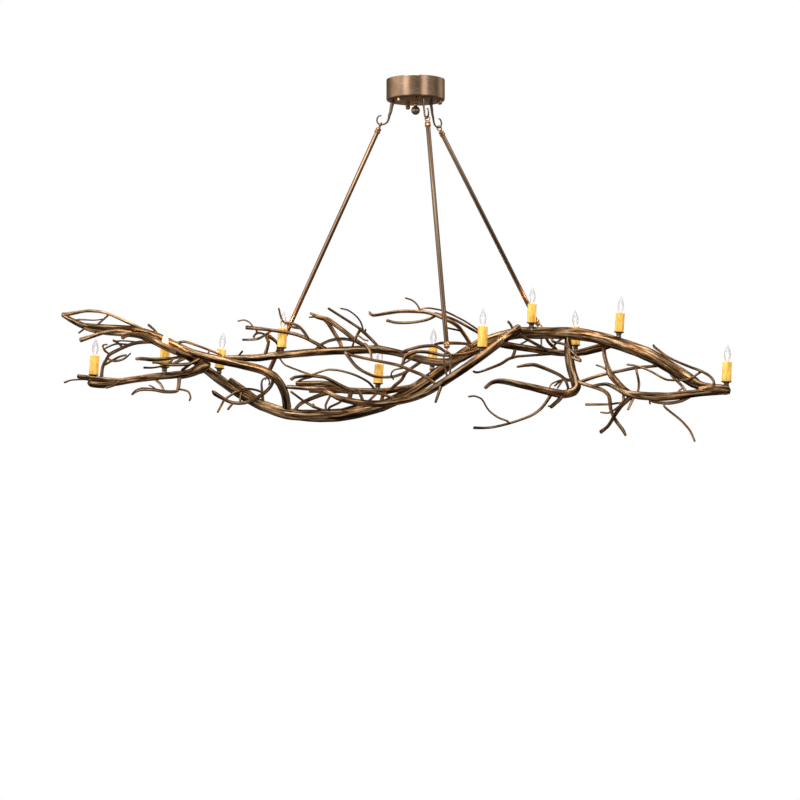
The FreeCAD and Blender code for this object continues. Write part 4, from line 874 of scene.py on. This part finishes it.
# %% Hooks
HOOK_SHARES = [(0, 0.0, 0.62, 1.3), (0.1, 0.22, 0.6, 1.2), (0.17, 0.43, 0.58, 1.05),
               (0.28, 0.61, 0.56, 0.9), (0.34, 0.76, 0.56, 0.74), (0.48, 0.91, 0.55, 0.6),
               (0.75, 0.99, 0.55, 0.55), (1, 1, 0.55, 0.55), (1.2, 0.945, 0.55, 0.55),
               (1.31, 0.815, 0.52, 0.52), (1.25, 0.68, 0.5, 0.5), (1.1, 0.6, 0.46, 0.46),
               (0.92, 0.6, 0.4, 0.4)]
HOOK_CIRCLE = 0.096
HOOK_REACH = 0.051
HOOK_TOP = -0.086
HOOK_DROP = 0.092
HOOK_WIRE = 0.00654
PLATE_PROFILE = [(AXIS, -0.0862), (0.0085, -0.0862), (0.0088, -0.0880), (0.0078, -0.0900), (AXIS, -0.0900)]
FLOOR_NUT_PROFILE = [(AXIS, -0.0845), (0.0072, -0.0845), (0.0072, -0.0790), (0.0040, -0.0785),
                     (0.0040, -0.0740), (AXIS, -0.0740)]
for name, bearing in (("left", 168), ("middle", 288), ("right", 48)):
    turn = math.radians(bearing)
    out = np.array([math.cos(turn), math.sin(turn), 0])
    across = np.array([-math.sin(turn), math.cos(turn), 0])
    spots = np.array([out * (HOOK_CIRCLE + HOOK_REACH * o) + np.array([0, 0, HOOK_TOP - HOOK_DROP * d])
                      for o, d, _, _ in HOOK_SHARES])
    rings = []
    for spot, way, (_, _, wide, thick) in zip(spots, np.gradient(spots, axis=0), HOOK_SHARES):
        flat = np.cross(way / np.linalg.norm(way), across)
        rings.append(np.array([spot + HOOK_WIRE * (across * wide * math.cos(a) + flat * thick * math.sin(a))
                               for a in [math.pi * k / 4 for k in range(8)]]))
    strap = piece_from("hook_strap", [grow(rings, 20, 0.002, bearing, 0.02)])
    plate = spun("hook_plate", PLATE_PROFILE, 32)
    nut = spun("hook_nut", FLOOR_NUT_PROFILE, 6, 20)
    for extra in (plate, nut):
        extra.data.transform(Matrix.Translation(out * HOOK_CIRCLE))
    pick(strap, plate, nut)
    bpy.ops.object.join()
    forging = bpy.context.object
    settle(forging, f"hook_forging_{name}", "canopy", "hook_bronze", hook_bronze, f"hook_{name}")
    print("hook", name, len(forging.data.polygons), "faces")

# %% [markdown]
# ## Rods
# Each rod is a smooth tube with a turned collar and a round loop at both ends. The CAD rod's
# ends give the places, and a loop faces the wire that it hangs on. The tube gets a grain along
# its length, so that the drawn lines of its finish follow it.

# %% Rods and loops
ROD_RADIUS = 0.0093
ROD_EDGE = 0.0004
LOOP_RADIUS = 0.0105
LOOP_WIRE = 0.0026
LOOP_OFF = 0.0345


def rod_ends(node):
    """The middles of the upper and the lower end of a CAD rod."""
    points = np.array([v.co[:] for v in frame["nodes"][node].data.vertices])
    height = points.mean(axis=0)[2]
    upper, lower = points[points[:, 2] > height], points[points[:, 2] < height]
    return Vector(upper.mean(axis=0)), Vector(lower.mean(axis=0))


collar_profile = [(AXIS, -0.001), (0.0094, -0.001), (0.0106, 0.0010), (0.0122, 0.0024), (0.0122, 0.0092),
                  (0.0108, 0.0104), (0.0098, 0.0116), (0.0100, 0.0130), (0.0116, 0.0142), (0.0122, 0.0160),
                  (0.0114, 0.0190), (0.0082, 0.0215), (0.0060, 0.0232), (0.0044, 0.0245), (AXIS, 0.0250)]
RODS = (("left", 168, (1, 0, 0)), ("middle", 288, (1, 0, 0)), ("right", 48, (0, 1, 0)))
for name, bearing, low_facing in RODS:
    top, low = rod_ends(f"rod_{name}")
    way = (top - low).normalized()
    straight = way.to_track_quat("Z", "Y").to_matrix().to_4x4()
    reach = (top - low).length
    tube_profile = [(AXIS, 0), (0.0090, 0), (ROD_RADIUS, ROD_EDGE), (ROD_RADIUS, reach - ROD_EDGE),
                    (0.0090, reach), (AXIS, reach)]
    tube = spun("bar", tube_profile, 40)
    layer = tube.data.attributes.new("grain", "FLOAT_VECTOR", "POINT")
    layer.data.foreach_set("vector", [c for v in tube.data.vertices for c in (v.co.z, v.co.x, v.co.y)])
    bar = copies(tube, [Matrix.Translation(low) @ straight])
    settle(bar, f"rod_tube_{name}", f"rod_{name}", "rod_bronze", rod_bronze, f"rod_{name}")
    turn = math.radians(bearing)
    top_facing = Vector((math.cos(turn), math.sin(turn), 0))
    ends = []
    for end, onward, facing in ((top, way, top_facing), (low, -way, Vector(low_facing))):
        facing = (facing - onward * facing.dot(onward)).normalized()
        axes = Matrix((facing, onward.cross(facing), onward)).transposed().to_4x4()
        collar = spun("collar", collar_profile, 32)
        bpy.ops.object.select_all(action="DESELECT")
        bpy.ops.mesh.primitive_torus_add(major_segments=48, minor_segments=20, major_radius=LOOP_RADIUS,
                                         minor_radius=LOOP_WIRE, location=(0, 0, LOOP_OFF),
                                         rotation=(0, math.pi / 2, 0))
        ring = bpy.context.object
        bpy.ops.object.transform_apply(location=True, rotation=True, scale=True)
        bpy.ops.object.shade_smooth()
        pick(collar, ring)
        bpy.ops.object.join()
        ends.append(copies(bpy.context.object, [Matrix.Translation(end) @ axes]))
    pick(*ends)
    bpy.ops.object.join()
    loops = bpy.context.object
    settle(loops, f"rod_loops_{name}", f"rod_{name}", "copper_loop", copper_loop, f"rod_{name}_loops")
    print("rod", name, "has a tube of", round(reach, 4), "m")

# %% [markdown]
# ## Studio
# A plain pale floor lies below the view and sends some light back up. It is left out of
# mirrored rays, so that it doesn't brighten the underside of the limbs too much.

# %% Floor
FLOOR_PLACE = (0, -3.6, -3.4)
FLOOR_SIZE = (11, 10.8, 1)
bpy.ops.object.select_all(action="DESELECT")
bpy.ops.mesh.primitive_plane_add(size=1, location=FLOOR_PLACE)
floor = bpy.context.object
floor.scale = FLOOR_SIZE
bpy.ops.object.transform_apply(location=True, rotation=False, scale=True)
floor.name = "floor"
pale_floor, _, _ = new_finish("pale_floor", (0.80, 0.80, 0.80), 0, 0.9)
floor.data.materials.append(pale_floor)
floor.visible_glossy = False
print("floor at", round(floor.data.vertices[0].co.z, 3), "m")

# %% [markdown]
# The world is white where the camera sees it, straight or through glass. Metal lives from what
# it mirrors, so for mirrored rays the world is a studio of pale panels with darker gaps between
# them, a pale ceiling and a darker ground. Each panel stands at a compass bearing in degrees,
# counted from the front, and has a brightness. For all other rays the world is a plain grey.

# %% World
PANELS = [(-170, 0.30), (-128, 0.22), (-102, 0.9), (-68, 1.15), (-55, 0.8), (-45, 2.0), (-34, 2.0),
          (-20, 0.5), (3, 0.2), (19, 0.28), (29, 1.6), (41, 1.6), (52, 0.45), (75, 0.35), (90, 0.15),
          (120, 0.85), (150, 0.3)]
CEILING = (0.95, 0.95, 0.95, 1)
OTHER_RAYS = (0.3, 0.3, 0.3, 1)
world = bpy.data.worlds.new("studio")
scene.world = world
world.use_nodes = True
tree = world.node_tree
paths = add(tree, "ShaderNodeLightPath").outputs
seen = maths(tree, "MAXIMUM", paths["Is Camera Ray"], paths["Is Transmission Ray"])
way = add(tree, "ShaderNodeSeparateXYZ", Vector=add(tree, "ShaderNodeTexCoord").outputs["Generated"]).outputs
bearing = maths(tree, "ARCTAN2", way["X"], maths(tree, "MULTIPLY", way["Y"], -1.0))
stops = [(0.5 + angle / 360, (glow, glow, glow)) for angle, glow in PANELS]
panels = ramp(tree, remap(tree, bearing, -math.pi, math.pi), *stops)
walls = blend(tree, remap(tree, way["Z"], 0.3, 0.75), panels, CEILING)
mirrored = blend(tree, 1.0, walls, remap(tree, way["Z"], -0.45, 0.0, 0.12, 1.0), "MULTIPLY")
plain = blend(tree, seen, OTHER_RAYS, (1, 1, 1, 1))
shown = blend(tree, paths["Is Glossy Ray"], plain, mirrored)
tree.links.new(shown, tree.nodes["Background"].inputs["Color"])
print("panels:", len(PANELS))

# %% [markdown]
# Four large soft lamps hang round the object: the key above the front left, a fill in front, one
# overhead and one at the left side. The fill and the side lamp would draw hard streaks on the
# bare metal, so they are left out of mirrored rays.

# %% Lamps
def lamp(name, place, aim, size, power):
    """A large soft lamp that faces a point."""
    data = bpy.data.lights.new(name, "AREA")
    data.shape = "RECTANGLE"
    data.size, data.size_y = size
    data.energy = power
    obj = bpy.data.objects.new(name, data)
    obj.location = place
    obj.rotation_euler = (Vector(aim) - Vector(place)).to_track_quat("-Z", "Y").to_euler()
    scene.collection.objects.link(obj)
    return obj


lamp("key", (-0.9, -3.2, 2.3), (-0.1, 0, -1.2), (3.6, 1.6), 110)
lamp("fill", (-2.0, -5.0, 0.4), (0.1, 0, -1.2), (2.5, 1.2), 90).visible_glossy = False
lamp("top", (0.3, 0.4, 2.2), (0.1, 0, -1.2), (3.4, 1.6), 50)
lamp("side", (-4.2, -1.6, -0.4), (-0.3, 0, -1.2), (1.0, 2.0), 24).visible_glossy = False
print("lamps:", len(bpy.data.lights))

# %% [markdown]
# The camera stands seven metres in front, level with the frame of branches, and looks straight
# along Y. Its lens is worked out from the focal length in picture points.

# %% Camera
SENSOR = 36
CAMERA_PLACE = (-0.064, -7.0, -1.312)
PICTURE_WIDTH = 800
FOCAL_POINTS = 1707
camera_data = bpy.data.cameras.new("camera")
camera_data.lens = SENSOR * FOCAL_POINTS / PICTURE_WIDTH
camera_data.sensor_width = SENSOR
camera = bpy.data.objects.new("camera", camera_data)
camera.location = CAMERA_PLACE
camera.rotation_euler = (math.pi / 2, 0, 0)
scene.collection.objects.link(camera)
scene.camera = camera
scene.view_settings.view_transform = "Standard"
print("lens", round(camera_data.lens, 2), "mm")

# %% [markdown]
# The bulbs glow enough to warm the metal beside them, and the second one from the left shines
# brightest. Each of them gets a small warm lamp. A lamp inside a thin skin of glass would leave
# bright specks on it, so light linking keeps these lamps off the glass and the flame, which cast
# no shadow either.

# %% Lamps in the bulbs
BULB_POWER = {2: 1.0, 3: 0.6, 5: 0.5, 8: 0.5}
BULB_LIGHT = (1.0, 0.66, 0.38)
BULB_SOFT = 0.012
FAINT_POWER = 0.3
FLAME_HEIGHT = 0.108
unlit = bpy.data.collections.new("glass_left_out")
for see_through_piece in (glass, flame):
    see_through_piece.visible_shadow = False
    unlit.objects.link(see_through_piece)
for share in unlit.collection_objects:
    share.light_linking.link_state = "EXCLUDE"
for number, place in enumerate(lights, 1):
    data = bpy.data.lights.new(f"bulb_{number}", "POINT")
    data.energy = BULB_POWER.get(number, FAINT_POWER)
    data.color = BULB_LIGHT
    data.shadow_soft_size = BULB_SOFT
    glow = bpy.data.objects.new(f"bulb_{number}", data)
    glow.visible_camera = glow.visible_transmission = False
    glow.light_linking.receiver_collection = unlit
    glow.location = place @ Vector((0, 0, FLAME_HEIGHT))
    scene.collection.objects.link(glow)
print("bulb lamps:", len(lights))
